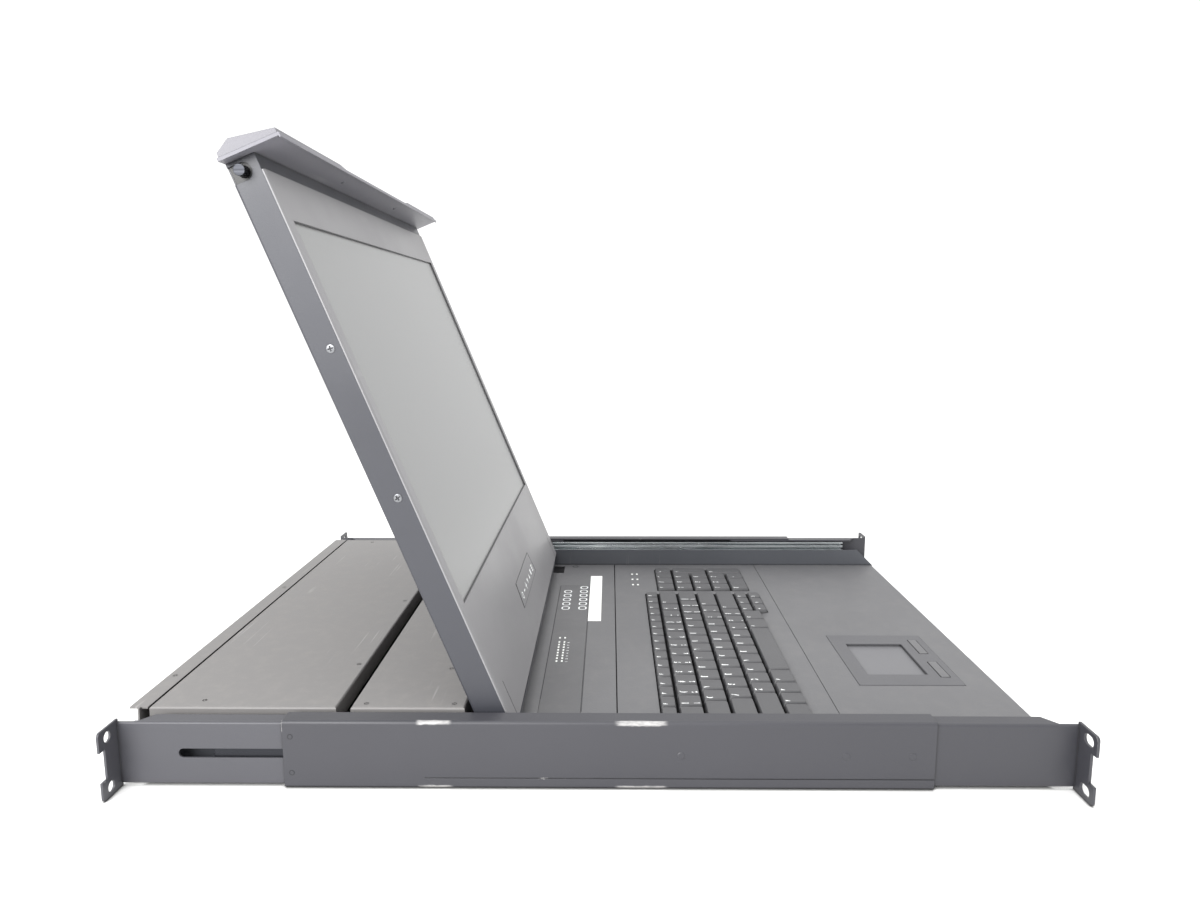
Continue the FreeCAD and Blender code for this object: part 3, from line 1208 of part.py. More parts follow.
def handle_grips():
    """Ridged grips at each end of the handle that slope down to the finger recess between them."""
    back_y, front_y = -HANDLE_BACK_V - GRIP_EDGE, -HANDLE_FRONT_V + GRIP_EDGE
    base = HANDLE_TOP_U
    ridge = base + GRIP_RIDGE_RISE
    section = [(back_y, base), (back_y, base + GRIP_BACK_RISE), (0, ridge),
               (front_y, base + GRIP_FRONT_RISE), (front_y, base)]
    grip = along_x(section, (GRIP_INNER_X, HANDLE_HALF))
    beyond_x, above = GRIP_INNER_X - OVERSHOOT, ridge + OVERSHOOT
    slope = [(beyond_x, base), (GRIP_INNER_X, base), (GRIP_INNER_X + GRIP_SLOPE_RUN, ridge),
             (GRIP_INNER_X + GRIP_SLOPE_RUN, above), (beyond_x, above)]
    return both_sides([grip.cut(along_y(slope, (-HANDLE_HALF, HANDLE_HALF)))])


def latch_housings():
    """Blocks inside the lid that the latch pins slide in."""
    back_x = LID_INNER_X - LATCH_HOUSING_DEPTH
    top = LID_TOP - LID_SHEET
    block = lid_block((back_x, LID_INNER_X), (SHELL_BACK_V, LATCH_HOUSING_FACE),
                      (top - LATCH_HOUSING_HEIGHT, top))
    room = LATCH_PIN_X[0] - LATCH_TRAVEL - MOVING_GAP
    bore = lid_rod(room, LATCH_U, LATCH_V, LATCH_PIN_RADIUS + LATCH_CLEARANCE,
                   LID_INNER_X - room + OVERSHOOT)
    return both_sides([block.cut(bore)])


def latch_pin():
    """Sprung pin that stands out of the lid's side."""
    return lid_rod(LATCH_PIN_X[0], LATCH_U, LATCH_V, LATCH_PIN_RADIUS, LATCH_PIN_LENGTH)


# ---------------------------------------------------------------- write the pieces
def main():
    os.makedirs("parts", exist_ok=True)

    save_pair("outer_rail", outer_rail())
    save_pair("front_bracket", front_bracket())
    save_pair("rear_bracket", rear_bracket())
    save("slide_studs", *both_sides(slide_studs()))
    save_pair("slide_track", slide_track())
    save_pair("slide_middle", slide_middle())
    save_pair("slide_runner", slide_runner())
    save_pair("outer_ball_cage", ball_cage(OUTER_CAGE_DEPTH, OUTER_ROW, OUTER_CAGE_INSET))
    save_pair("inner_ball_cage", ball_cage(INNER_CAGE_DEPTH, INNER_ROW, INNER_CAGE_INSET))

    save("drawer_tray", drawer_tray())
    save("electronics_cover", top_cover((BAY_FRONT_Y, BAY_REAR_Y)))
    save("cable_cover", top_cover((CABLE_COVER_FRONT_Y, CABLE_COVER_REAR_Y)))
    save("rear_panel", rear_panel())
    save("video_connectors", *video_connectors())
    save("power_inlet", *power_inlet())
    save("switch_frame", switch_frame())
    save("power_rocker", power_rocker())
    save("switch_board", *switch_board())
    save("power_supply", power_supply())

    save("palm_rest", palm_rest())
    save("keyboard_frame", keyboard_frame())
    save("control_panel", control_panel())
    save("control_overlay", control_overlay())
    save("indicator_lights", *indicator_lights())
    save("blank_label", blank_label())
    save("touchpad_surface", touchpad_surface())
    for side, place in zip(("left", "right"), button_places()):
        save("touchpad_" + side + "_button", touchpad_button(place))
    save("key_bed", key_bed())
    save_keys()

    save("hinge_brackets", *hinge_brackets())
    save("hinge_pins", *posed(hinge_pins()))
    save("lid_shell", *posed([lid_shell()]))
    save("screen_bezel", *posed([screen_bezel()]))
    save("lcd_panel", *posed([lcd_panel()]))
    save("display_board", *posed(display_board()))
    save("menu_strip", *posed([menu_strip()]))
    save("handle_plate", *posed([handle_plate()]))
    save("handle_grips", *posed(handle_grips()))
    save("latch_housings", *posed(latch_housings()))
    save("right_latch_pin", *posed([latch_pin()]))
    save("left_latch_pin", *posed([mirrored(latch_pin())]))


main()
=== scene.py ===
"""Rack console drawer: finishes, keycaps, fasteners, connectors, printed marks and a studio stage.

Run as a script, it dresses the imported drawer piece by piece. Lengths are in metres.
X runs to the user's right, Y to the rear, Z up.
"""
import json
import math

import bmesh
import bpy
from bpy.props import FloatProperty, FloatVectorProperty, PointerProperty
from mathutils import Matrix, Vector


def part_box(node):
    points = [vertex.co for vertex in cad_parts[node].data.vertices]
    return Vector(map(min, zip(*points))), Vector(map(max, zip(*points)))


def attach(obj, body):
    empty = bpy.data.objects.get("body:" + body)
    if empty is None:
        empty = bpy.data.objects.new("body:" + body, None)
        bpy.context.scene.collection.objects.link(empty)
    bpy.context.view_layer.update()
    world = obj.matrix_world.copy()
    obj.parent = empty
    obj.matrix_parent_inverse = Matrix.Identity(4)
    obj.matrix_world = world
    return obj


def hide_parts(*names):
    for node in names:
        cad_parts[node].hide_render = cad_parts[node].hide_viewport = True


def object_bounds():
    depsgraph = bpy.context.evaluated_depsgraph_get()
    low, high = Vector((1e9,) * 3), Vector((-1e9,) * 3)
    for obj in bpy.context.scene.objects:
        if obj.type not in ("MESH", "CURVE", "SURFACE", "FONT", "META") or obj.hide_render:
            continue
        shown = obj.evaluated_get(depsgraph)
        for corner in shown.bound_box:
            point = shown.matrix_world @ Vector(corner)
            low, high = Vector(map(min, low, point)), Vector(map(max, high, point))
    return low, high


bl_info = {
    "name": "Rack Console Drawer",
    "version": (1, 0, 0),
    "blender": (4, 5, 0),
    "location": "3D View > Sidebar > Console",
    "description": "Dresses a rack console drawer with finishes, keycaps, fasteners and printed marks",
    "category": "Object",
}

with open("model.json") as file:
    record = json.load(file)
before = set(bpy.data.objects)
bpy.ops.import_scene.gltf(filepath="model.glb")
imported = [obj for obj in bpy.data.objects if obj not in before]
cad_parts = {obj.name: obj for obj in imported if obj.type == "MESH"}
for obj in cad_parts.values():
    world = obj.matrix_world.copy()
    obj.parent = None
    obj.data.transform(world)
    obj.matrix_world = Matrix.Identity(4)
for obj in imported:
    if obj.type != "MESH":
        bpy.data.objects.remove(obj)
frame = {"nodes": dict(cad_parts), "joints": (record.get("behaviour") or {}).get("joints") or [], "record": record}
CAD_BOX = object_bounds()
NODES = frame["nodes"]
MM = 0.001
UP = Vector((0, 0, 1))
REARWARD = Vector((0, 1, 0))
BODIES = frame["record"]["behaviour"]["bodies"]
BODY_OF = {node: body for body, nodes in BODIES.items() for node in nodes}


# ---------------------------------------------------------------- colours and sizes a user would change
def linear(code):
    """Linear light values of a colour written as six hexadecimal digits."""
    parts = [int(code[place:place + 2], 16) / 255 for place in (0, 2, 4)]
    return tuple(part / 12.92 if part <= 0.04045 else ((part + 0.055) / 1.055) ** 2.4
                 for part in parts)


def colour(name, description, code):
    return FloatVectorProperty(name=name, description=description, subtype="COLOR", size=3, min=0, max=1,
                               default=linear(code))


def length(name, description, default, high=0.1):
    return FloatProperty(name=name, description=description, default=default, min=0, max=high, precision=5,
                         subtype="DISTANCE", unit="LENGTH")


def share(name, description, default, high=1.0):
    return FloatProperty(name=name, description=description, default=default, min=0, max=high,
                         subtype="FACTOR")


def angle(name, description, degrees):
    return FloatProperty(name=name, description=description, default=math.radians(degrees), subtype="ANGLE",
                         unit="ROTATION")


def power(name, description, default):
    return FloatProperty(name=name, description=description, default=default, min=0, max=1000,
                         subtype="POWER")


class ConsoleColours(bpy.types.PropertyGroup):
    """Colours of the console's finishes."""
    rail_paint: colour("Rails", "Satin coat on the outer rails", "37373c")
    bracket_paint: colour("Brackets", "Satin coat on the rack brackets", "444449")
    zinc_steel: colour("Slides", "Zinc plated slide members", "c9ced0")
    # painted shade on the backs of the slide tracks; the latch pins' own dark steel
    dark_steel: colour("Dark steel", "Passivated steel of the slide tracks and latch pins", "38393d")
    ball_steel: colour("Balls", "Polished balls of the slides", "dcdee0")
    case_paint: colour("Covers", "Coat on the two covers of the rear bay", "777574")
    tray_paint: colour("Tray", "Coat on the drawer tray", "47494e")
    deck_plastic: colour("Deck", "Grained plastic of the deck", "5e5e60")
    key_plastic: colour("Keys", "Keycaps", "4a4a4c")
    bed_plastic: colour("Key bed", "Bed between the keys", "17171a")
    overlay_film: colour("Overlay", "Printed film of the control panel", "545456")
    light_lens: colour("Lights", "Lenses of the indicator lights", "f2f5f0")
    label_paper: colour("Label", "Blank paper label", "f4f4f2")
    touch_plastic: colour("Touchpad", "Surface of the touchpad", "646467")
    frame_plastic: colour("Touchpad frame", "Plastic of the frame around the touchpad", "525255")
    lid_paint: colour("Lid", "Coat on the lid's shell", "36373d")
    bezel_paint: colour("Bezel", "Coat on the screen's surround", "828183")
    screen_glass: colour("Screen", "Film over the screen when it is off", "757676")
    handle_paint: colour("Handle", "Coat on the handle's plate", "6d6c73")
    handle_grip: colour("Grips", "Moulded grips of the handle", "6a696f")
    board_green: colour("Boards", "Solder mask of the circuit boards", "17452c")
    supply_steel: colour("Supply", "Case of the power supply", "a9abad")
    connector_steel: colour("Connectors", "Plated shells of the connectors", "b9b9bb")
    inlet_plastic: colour("Inlet", "Plastic of the inlet and its switch", "141416")
    screw_steel: colour("Screws", "Plated screws", "7c7d80")
    print_ink: colour("Print", "Legends and printed marks", "f6f8f8")
    # also the painted shade on the floor of the round hole
    groove_ink: colour("Lines", "Dark lines on the control panel", "26272a")
    # bare metal in scratches and scuffs; on worn edges this colour also serves as painted highlights
    bare_metal: colour("Bare metal", "Metal and primer where the coat is worn", "dcdad8")
    # painted shade: the near-black colour laid into corners, seams and gaps where shade falls
    grime: colour("Grime", "Grime in seams and corners", "0c0c0d")
    dust: colour("Dust", "Dust that settles on upward faces", "a9a49d")
    floor: colour("Floor", "Studio floor", "f4f4f3")


class ConsoleSizes(bpy.types.PropertyGroup):
    """Sizes of the pieces that dress the console."""
    edge_reach: length("Edge reach", "How far wear and rounding reach from an edge", 0.5 * MM, 0.01)
    # worn edges also serve as painted highlights: a higher share gives more bright edge lines
    edge_wear: share("Edge wear", "Share of the edges that is worn", 0.5)
    # reach and strength of the painted shade in corners, seams and gaps
    grime_reach: length("Grime reach", "How far grime reaches out of a corner", 2.5 * MM, 0.02)
    grime: share("Grime", "Strength of the grime in seams and corners", 0.8)
    scratches: share("Scratches", "Strength of the hairline scratches", 0.22)
    dish: length("Key dish", "Depth of the hollow in a keycap", 0.45 * MM, 0.002)
    key_inset: length("Key inset", "How far a keycap's top lies inside its foot", 1.4 * MM, 0.005)
    letter: length("Letters", "Height of a letter on a key", 4.8 * MM, 0.01)
    word: length("Words", "Height of a word on a key", 2.8 * MM, 0.01)
    pad_frame: length("Touchpad frame", "How far the touchpad's frame stands above the deck", 0.35 * MM,
                      0.002)
    ink: length("Ink", "Thickness of printed marks", 0.03 * MM, 0.001)
    cover_screw: length("Cover screws", "Head radius of the cover screws", 2.1 * MM, 0.01)
    lid_screw: length("Lid screws", "Head radius of the screws in the lid's sides", 2.7 * MM, 0.01)
    handle_screw: length("Handle screws", "Head radius of the screws under the handle", 1.6 * MM, 0.01)
    rivet: length("Rivets", "Radius of the flush rivets in the rails", 2.4 * MM, 0.01)
    dimple: length("Dimples", "Radius of the dimples in the rails", 1.7 * MM, 0.01)
    jackscrew: length("Jackscrews", "Width over flats of the connector screws", 5.0 * MM, 0.02)


class ConsoleStage(bpy.types.PropertyGroup):
    """Camera and light of the studio."""
    camera_place: FloatVectorProperty(name="Camera", description="Place of the camera", subtype="TRANSLATION",
                                      unit="LENGTH", size=3, default=(-0.7079, -0.0066, 0.2848))
    camera_dip: angle("Dip", "How far the camera looks down", 8.783)
    camera_turn: angle("Turn", "How far the camera turns to the rear", 0.679)
    camera_roll: angle("Roll", "How far the camera leans", -0.13)
    lens: FloatProperty(name="Lens", description="Focal length in millimetres", default=25.6, min=10, max=200)
    sky: FloatProperty(name="Surroundings", description="Brightness of the white surroundings", default=1.15,
                       min=0, max=10)
    top_light: power("Top light", "Power of the large light overhead", 16.0)
    side_light: power("Side light", "Power of the high light on the near side", 30.0)


def colours():
    return bpy.context.scene.console_colours


def sizes():
    return bpy.context.scene.console_sizes


# ---------------------------------------------------------------- shader wiring
class Wiring:
    """Adds nodes to one node tree and joins their sockets."""

    def __init__(self, tree):
        self.tree = tree

    def node(self, kind, values=None, **settings):
        made = self.tree.nodes.new(kind)
        for key, value in settings.items():
            setattr(made, key, value)
        for socket, value in (values or {}).items():
            self.feed(made.inputs[socket], value)
        return made

    def feed(self, socket, value):
        if isinstance(value, bpy.types.NodeSocket):
            self.tree.links.new(value, socket)
        else:
            socket.default_value = value

    def maths(self, operation, *values, clamp=False):
        made = self.node("ShaderNodeMath", dict(enumerate(values)), operation=operation, use_clamp=clamp)
        return made.outputs[0]

    def add(self, first, second, clamp=False):
        return self.maths("ADD", first, second, clamp=clamp)

    def less(self, first, second):
        return self.maths("SUBTRACT", first, second)

    def times(self, first, second, clamp=False):
        return self.maths("MULTIPLY", first, second, clamp=clamp)

    def ramp(self, value, low, high, to_low=0.0, to_high=1.0):
        values = {"Value": value, "From Min": low, "From Max": high, "To Min": to_low, "To Max": to_high}
        made = self.node("ShaderNodeMapRange", values, interpolation_type="SMOOTHSTEP")
        return made.outputs["Result"]

    def mix(self, factor, first, second, blend="MIX"):
        mixed = self.node("ShaderNodeMix", data_type="RGBA", blend_type=blend)
        for index, value in ((0, factor), (6, first), (7, second)):
            self.feed(mixed.inputs[index], value)
        return mixed.outputs[2]

    def place(self, stretch=(1.0, 1.0, 1.0), turn=(0.0, 0.0, 0.0)):
        """The piece's own coordinates, stretched and turned."""
        own = self.node("ShaderNodeTexCoord").outputs["Object"]
        return self.node("ShaderNodeMapping", {"Vector": own, "Scale": stretch, "Rotation": turn}).outputs[0]

    def noise(self, place, scale, detail=2.0, roughness=0.5):
        values = {"Vector": place, "Scale": scale, "Detail": detail, "Roughness": roughness}
        return self.node("ShaderNodeTexNoise", values).outputs["Fac"]


def effect(name, sockets_in, sockets_out, wire):
    """Node group shared by materials. wire(wiring, inputs, outputs) fills it."""
    group = bpy.data.node_groups.new(name, "ShaderNodeTree")
    for label, default in sockets_in.items():
        kind = "NodeSocketColor" if isinstance(default, tuple) else "NodeSocketFloat"
        group.interface.new_socket(label, in_out="INPUT", socket_type=kind).default_value = default
    for label, kind in sockets_out.items():
        group.interface.new_socket(label, in_out="OUTPUT", socket_type="NodeSocket" + kind)
    wiring = Wiring(group)
    wire(wiring, group.nodes.new("NodeGroupInput").outputs, group.nodes.new("NodeGroupOutput").inputs)
    return group


def wire_drift(w, inputs, outputs):
    """Slow change of shade over a coat, with faint cloudy marks; with slow, large clouds on the screen it is a
    painted reflection.
    """
    clouds = w.noise(w.place(), inputs["Scale"], 4.0, 0.55)
    swing = w.times(w.less(clouds, 0.5), inputs["Amount"])
    factor = w.add(1.0, swing)
    grey = w.node("ShaderNodeCombineColor", {0: factor, 1: factor, 2: factor}).outputs[0]
    w.feed(outputs["Colour"], w.mix(1.0, inputs["Colour"], grey, "MULTIPLY"))
    w.feed(outputs["Spread"], clouds)


def wire_wear(w, inputs, outputs):
    """Bare edges, which also serve as painted highlights: where a rounded normal leaves the flat one, broken up by
    noise.
    """
    rounded = w.node("ShaderNodeBevel", {"Radius": inputs["Reach"]}, samples=4).outputs[0]
    flat = w.node("ShaderNodeNewGeometry").outputs["Normal"]
    product = w.node("ShaderNodeVectorMath", {0: rounded, 1: flat}, operation="DOT_PRODUCT")
    edge = w.ramp(w.less(1.0, product.outputs["Value"]), 0.01, 0.16)
    patches = w.noise(w.place(), 55.0, 5.0, 0.65)
    limit = w.less(0.86, w.times(inputs["Amount"], 0.5))
    torn = w.ramp(patches, limit, w.add(limit, 0.1))
    mask = w.times(edge, torn, clamp=True)
    w.feed(outputs["Colour"], w.mix(mask, inputs["Colour"], inputs["Bare"]))


def wire_scratches(w, inputs, outputs):
    """Hairline scratches in two directions, kept to patches."""
    mask = 0.0
    for turn, stretch in ((0.35, (9.0, 260.0, 9.0)), (-0.9, (7.0, 330.0, 7.0))):
        lines = w.noise(w.place(stretch, (0.0, 0.0, turn)), 1.0, 1.0)
        patch = w.ramp(w.noise(w.place((1.0, 1.0, 1.0), (turn, 0.0, 0.0)), 14.0, 2.0), 0.52, 0.66)
        mask = w.maths("MAXIMUM", mask, w.times(w.ramp(lines, 0.68, 0.74), patch))
    w.feed(outputs["Mask"], w.times(mask, inputs["Amount"], clamp=True))


def wire_dust(w, inputs, outputs):
    """Dust on faces that look up."""
    normal = w.node("ShaderNodeNewGeometry").outputs["Normal"]
    facing = w.ramp(w.node("ShaderNodeSeparateXYZ", {0: normal}).outputs[2], 0.6, 1.0)
    clumps = w.ramp(w.noise(w.place(), 90.0, 6.0, 0.7), 0.42, 0.75)
    mask = w.times(w.times(facing, clumps), inputs["Amount"], clamp=True)
    w.feed(outputs["Colour"], w.mix(mask, inputs["Colour"], inputs["Dust"]))
    w.feed(outputs["Mask"], mask)


def wire_grime(w, inputs, outputs):
    """Painted shade: darkens corners, seams and gaps between pieces where ambient occlusion finds them closed in.
    """
    open_air = w.node("ShaderNodeAmbientOcclusion", {"Distance": inputs["Reach"]}, samples=6).outputs["AO"]
    closed = w.ramp(open_air, 0.95, 0.35)
    mask = w.times(closed, inputs["Amount"], clamp=True)
    w.feed(outputs["Colour"], w.mix(mask, inputs["Colour"], inputs["Grime"]))


def wire_grain(w, inputs, outputs):
    """Fine rounded pebbles of a moulded or powder coated skin."""
    cells = w.node("ShaderNodeTexVoronoi", {"Vector": w.place(), "Scale": inputs["Scale"]},
                   feature="SMOOTH_F1")
    speckle = w.noise(w.place(), w.times(inputs["Scale"], 1.7), 2.0)
    w.feed(outputs["Height"], w.less(speckle, w.times(cells.outputs["Distance"], 0.6)))


def wire_brushing(w, inputs, outputs):
    """Fine lines along the length of rolled steel."""
    lines = w.noise(w.place((600.0, 9.0, 600.0)), inputs["Scale"], 3.0)
    w.feed(outputs["Height"], lines)
    w.feed(outputs["Spread"], w.ramp(lines, 0.3, 0.7))


def wire_scuff(w, inputs, outputs):
    """A scuffed stretch along the outer corners of a long rail on one side."""
    x, y, z = w.node("ShaderNodeSeparateXYZ", {0: w.place()}).outputs[:3]
    away = w.maths("ABSOLUTE", w.less(y, inputs["Middle"]))
    half_length, half_height = inputs["Half Length"], w.times(inputs["Height"], 0.5)
    stretch = w.ramp(away, w.times(half_length, 1.1), w.times(half_length, 0.75))
    below = w.less(half_height, w.maths("ABSOLUTE", w.less(z, half_height)))
    inside = w.less(inputs["Face"], w.maths("ABSOLUTE", x))
    ragged = w.times(w.noise(w.place((1.0, 0.5, 1.0)), 130.0, 5.0, 0.7), inputs["Depth"])
    reach = w.less(w.add(below, inside), ragged)
    close = w.ramp(reach, w.times(inputs["Depth"], 0.25), w.times(inputs["Depth"], -0.1))
    torn = w.ramp(w.noise(w.place((1.0, 0.35, 1.6)), 260.0, 4.0, 0.7), 0.35, 0.65, 0.3, 0.58)
    near_side = w.maths("LESS_THAN", x, 0.0)
    mask = w.times(w.times(stretch, close), w.times(torn, near_side), clamp=True)
    w.feed(outputs["Colour"], w.mix(mask, inputs["Colour"], inputs["Bare"]))


GREY, PALE, BLACK = ((value, value, value, 1.0) for value in (0.5, 0.8, 0.01))
TINTED = {"Colour": "Color"}
# each shared effect: its inputs with their defaults, its outputs and the function that wires it
EFFECTS = {
    "Shade drift": ({"Colour": GREY, "Amount": 0.3, "Scale": 9.0}, {**TINTED, "Spread": "Float"}, wire_drift),
    "Edge wear": ({"Colour": GREY, "Bare": PALE, "Reach": 0.5 * MM, "Amount": 0.4}, TINTED, wire_wear),
    "Hairline scratches": ({"Amount": 0.4}, {"Mask": "Float"}, wire_scratches),
    "Settled dust": ({"Colour": GREY, "Dust": PALE, "Amount": 0.2}, {**TINTED, "Mask": "Float"}, wire_dust),
    "Corner grime": ({"Colour": GREY, "Grime": BLACK, "Reach": 4 * MM, "Amount": 0.7}, TINTED, wire_grime),
    "Pebble grain": ({"Scale": 1500.0}, {"Height": "Float"}, wire_grain),
    "Rolled brushing": ({"Scale": 1.0}, {"Height": "Float", "Spread": "Float"}, wire_brushing),
    "Rail scuff": ({"Colour": GREY, "Bare": PALE, "Middle": 0.0, "Half Length": 15 * MM, "Height": 43.5 * MM,
                    "Face": 223.7 * MM, "Depth": 4 * MM}, TINTED, wire_scuff),
}


def effect_node(w, name, **values):
    """One use of a shared effect, made the first time it is asked for."""
    group = bpy.data.node_groups.get(name) or effect(name, *EFFECTS[name])
    used = w.node("ShaderNodeGroup", node_tree=group)
    for label, value in values.items():
        w.feed(used.inputs[label.replace("_", " ")], value)
    return used.outputs


def opaque(shade):
    return (*shade, 1.0)


GRAIN_HEIGHT = 0.3 * MM


def finish(name, shade, roughness=0.5, metallic=0.0, grain=1500.0, grain_depth=0.02, wear=0.0,
           scratches=0.0, drift=0.25, clouds=9.0, dust=0.0, coat=0.0, brushed=False, scuffs=(), spread=0.12):
    """Material of one finish: drifting shade, which on the screen is a painted reflection, worn edges that also
    serve as painted highlights, scratches, dust, painted shade in corners and a fine surface.
    """
    name += "_finish"
    if name in bpy.data.materials:
        return bpy.data.materials[name]
    made = bpy.data.materials.new(name)
    made.use_nodes = True
    made.diffuse_color = opaque(shade)
    w = Wiring(made.node_tree)
    shader = made.node_tree.nodes["Principled BSDF"]
    look, bare_and_highlight, reach = opaque(shade), opaque(colours().bare_metal), sizes().edge_reach
    drifted_and_reflected = effect_node(w, "Shade drift", Colour=look, Amount=drift, Scale=clouds)
    look = drifted_and_reflected["Colour"]
    rough = w.ramp(drifted_and_reflected["Spread"], 0.3, 0.7, roughness - spread / 2, roughness + spread / 2)
    if scratches:
        lines = effect_node(w, "Hairline scratches", Amount=scratches)["Mask"]
        look = w.mix(lines, look, bare_and_highlight)
        rough = w.times(rough, w.less(1.0, w.times(lines, 0.4)))
    # worn edges, which also serve as painted highlights along the edges
    if wear:
        look = effect_node(w, "Edge wear", Colour=look, Bare=bare_and_highlight, Reach=reach, Amount=wear)["Colour"]
    if dust:
        dusted = effect_node(w, "Settled dust", Colour=look, Dust=opaque(colours().dust), Amount=dust)
        look = dusted["Colour"]
        rough = w.add(rough, w.times(dusted["Mask"], 0.3), clamp=True)
    for scuff in scuffs:
        look = effect_node(w, "Rail scuff", Colour=look, Bare=bare_and_highlight, **scuff)["Colour"]
    # painted shade in corners, seams and gaps on every coat that is not metal
    if not metallic:
        look = effect_node(w, "Corner grime", Colour=look, Grime=opaque(colours().grime),
                           Reach=sizes().grime_reach, Amount=sizes().grime)["Colour"]
    rounded = w.node("ShaderNodeBevel", {"Radius": reach}, samples=4).outputs[0]
    if brushed:
        surface = effect_node(w, "Rolled brushing", Scale=1.0)
        rough = w.ramp(surface["Spread"], 0.0, 1.0, roughness - spread, roughness + spread)
    else:
        surface = effect_node(w, "Pebble grain", Scale=grain)
    relief = w.node("ShaderNodeBump", {"Height": surface["Height"], "Distance": GRAIN_HEIGHT,
                                       "Strength": grain_depth, "Normal": rounded}).outputs[0]
    w.feed(shader.inputs["Base Color"], look)
    w.feed(shader.inputs["Roughness"], rough)
    w.feed(shader.inputs["Normal"], relief)
    shader.inputs["Metallic"].default_value = metallic
    shader.inputs["Coat Weight"].default_value = coat
    shader.inputs["Coat Roughness"].default_value = 0.25
    return made


# place along Y, half length and depth of each scuffed stretch of the left rail
RAIL_SCUFFS = ((0.1005, 0.0105, 3.4 * MM), (-0.0255, 0.0155, 3.6 * MM))


def slot_finish(slot):
    """The finish that the record's slot of this name takes."""
    shade = tuple(getattr(colours(), slot))
    # the share of worn edges, which also serve as painted highlights
    worn, scratched = sizes().edge_wear, sizes().scratches
    low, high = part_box("left_outer_rail")
    scuffs = [{"Middle": middle, "Half_Length": half, "Depth": depth, "Height": high.z, "Face": -low.x}
              for middle, half, depth in RAIL_SCUFFS]
    coat = dict(roughness=0.42, wear=worn, drift=0.22, scuffs=scuffs, grain_depth=0.12)
    moulded = dict(roughness=0.46, grain=900.0, grain_depth=0.25, drift=0.12)
    looks = {
        "rail_paint": coat,
        "bracket_paint": coat,
        "zinc_steel": dict(roughness=0.3, metallic=1.0, brushed=True, grain_depth=0.05),
        # the track backs take this finish as painted shade; the latch pins take it as their own steel
        "dark_steel": dict(roughness=0.38, metallic=1.0, brushed=True, grain_depth=0.05),
        "ball_steel": dict(roughness=0.12, metallic=1.0, grain_depth=0.0, spread=0.04),
        "case_paint": dict(roughness=0.44, wear=worn * 0.6, scratches=scratched * 0.7, drift=0.5, clouds=6.0,
                           dust=0.12, grain_depth=0.15),
        "tray_paint": dict(roughness=0.48, wear=worn * 0.5, scratches=scratched * 0.3, dust=0.1,
                           grain_depth=0.12),
        "deck_plastic": dict(moulded, dust=0.05),
        "frame_plastic": moulded,
        "key_plastic": dict(roughness=0.46, grain=1300.0, grain_depth=0.2, drift=0.1),
        "bed_plastic": dict(roughness=0.6, grain=1200.0, grain_depth=0.1, dust=0.05),
        "overlay_film": dict(roughness=0.44, grain=1600.0, grain_depth=0.1, drift=0.1, dust=0.05),
        "light_lens": dict(roughness=0.25, grain_depth=0.0, drift=0.05, coat=0.5),
        "label_paper": dict(roughness=0.7, grain=2500.0, grain_depth=0.1, drift=0.05),
        "touch_plastic": dict(roughness=0.4, grain=2200.0, grain_depth=0.08, drift=0.08),
        "lid_paint": dict(roughness=0.4, wear=worn * 0.6, drift=0.2, grain_depth=0.12),
        "bezel_paint": dict(roughness=0.42, wear=worn * 0.3, scratches=scratched * 0.15, drift=0.16,
                            grain_depth=0.12),
        # painted reflection: a slow, large drift gives lighter and darker patches across the screen's film
        "screen_glass": dict(roughness=0.34, grain=3500.0, grain_depth=0.02, drift=0.3, clouds=2.6,
                             spread=0.03, coat=0.4),
        "handle_paint": dict(roughness=0.42, wear=worn, scratches=scratched * 0.3, drift=0.2,
                             grain_depth=0.12),
        "handle_grip": dict(roughness=0.42, wear=worn * 0.5, scratches=scratched * 0.2, drift=0.16,
                            grain_depth=0.15),
        "board_green": dict(roughness=0.35, grain=800.0, grain_depth=0.1, drift=0.2),
        "supply_steel": dict(roughness=0.35, metallic=1.0, brushed=True, grain_depth=0.08),
        "connector_steel": dict(roughness=0.28, metallic=1.0, grain_depth=0.03, drift=0.15),
        "inlet_plastic": dict(roughness=0.4, grain=1400.0, grain_depth=0.1, drift=0.1),
        "screw_steel": dict(roughness=0.3, metallic=1.0, grain_depth=0.04, wear=0.5),
        "print_ink": dict(roughness=0.55, grain_depth=0.0, drift=0.1),
        "groove_ink": dict(roughness=0.6, grain_depth=0.0, drift=0.1),
    }
    return finish(slot, shade, **looks[slot])


def nodes_with(*words):
    return [node for node in NODES if any(word in node for word in words)]


def finish_nodes(*nodes, slot=None):
    """Gives CAD nodes the finish of the record's slot that they are made in, or another one."""
    slots = {part["node"]: part["material_slot"] for part in frame["record"]["subparts"]}
    for node in nodes:
        mesh = NODES[node].data
        mesh.materials.clear()
        mesh.materials.append(slot_finish(slot or slots[node]))


# ---------------------------------------------------------------- mesh helpers
def add_piece(name, shape, body, slot, replaced=()):
    """Puts a shape in the scene as a piece of the console that rides on a body."""
    mesh = bpy.data.meshes.new(name)
    bmesh.ops.recalc_face_normals(shape, faces=shape.faces)
    shape.to_mesh(mesh)
    shape.free()
    piece = bpy.data.objects.new(name, mesh)
    bpy.context.scene.collection.objects.link(piece)
    mesh.materials.append(slot_finish(slot))
    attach(piece, body)
    if replaced:
        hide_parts(*replaced)
    return piece


def smooth(piece, sharpest=math.radians(35)):
    """Shades a piece smoothly, apart from the edges that turn by more than an angle."""
    shape = bmesh.new()
    shape.from_mesh(piece.data)
    for face in shape.faces:
        face.smooth = True
    for edge in shape.edges:
        edge.smooth = len(edge.link_faces) == 2 and edge.calc_face_angle(0) < sharpest
    shape.to_mesh(piece.data)
    shape.free()


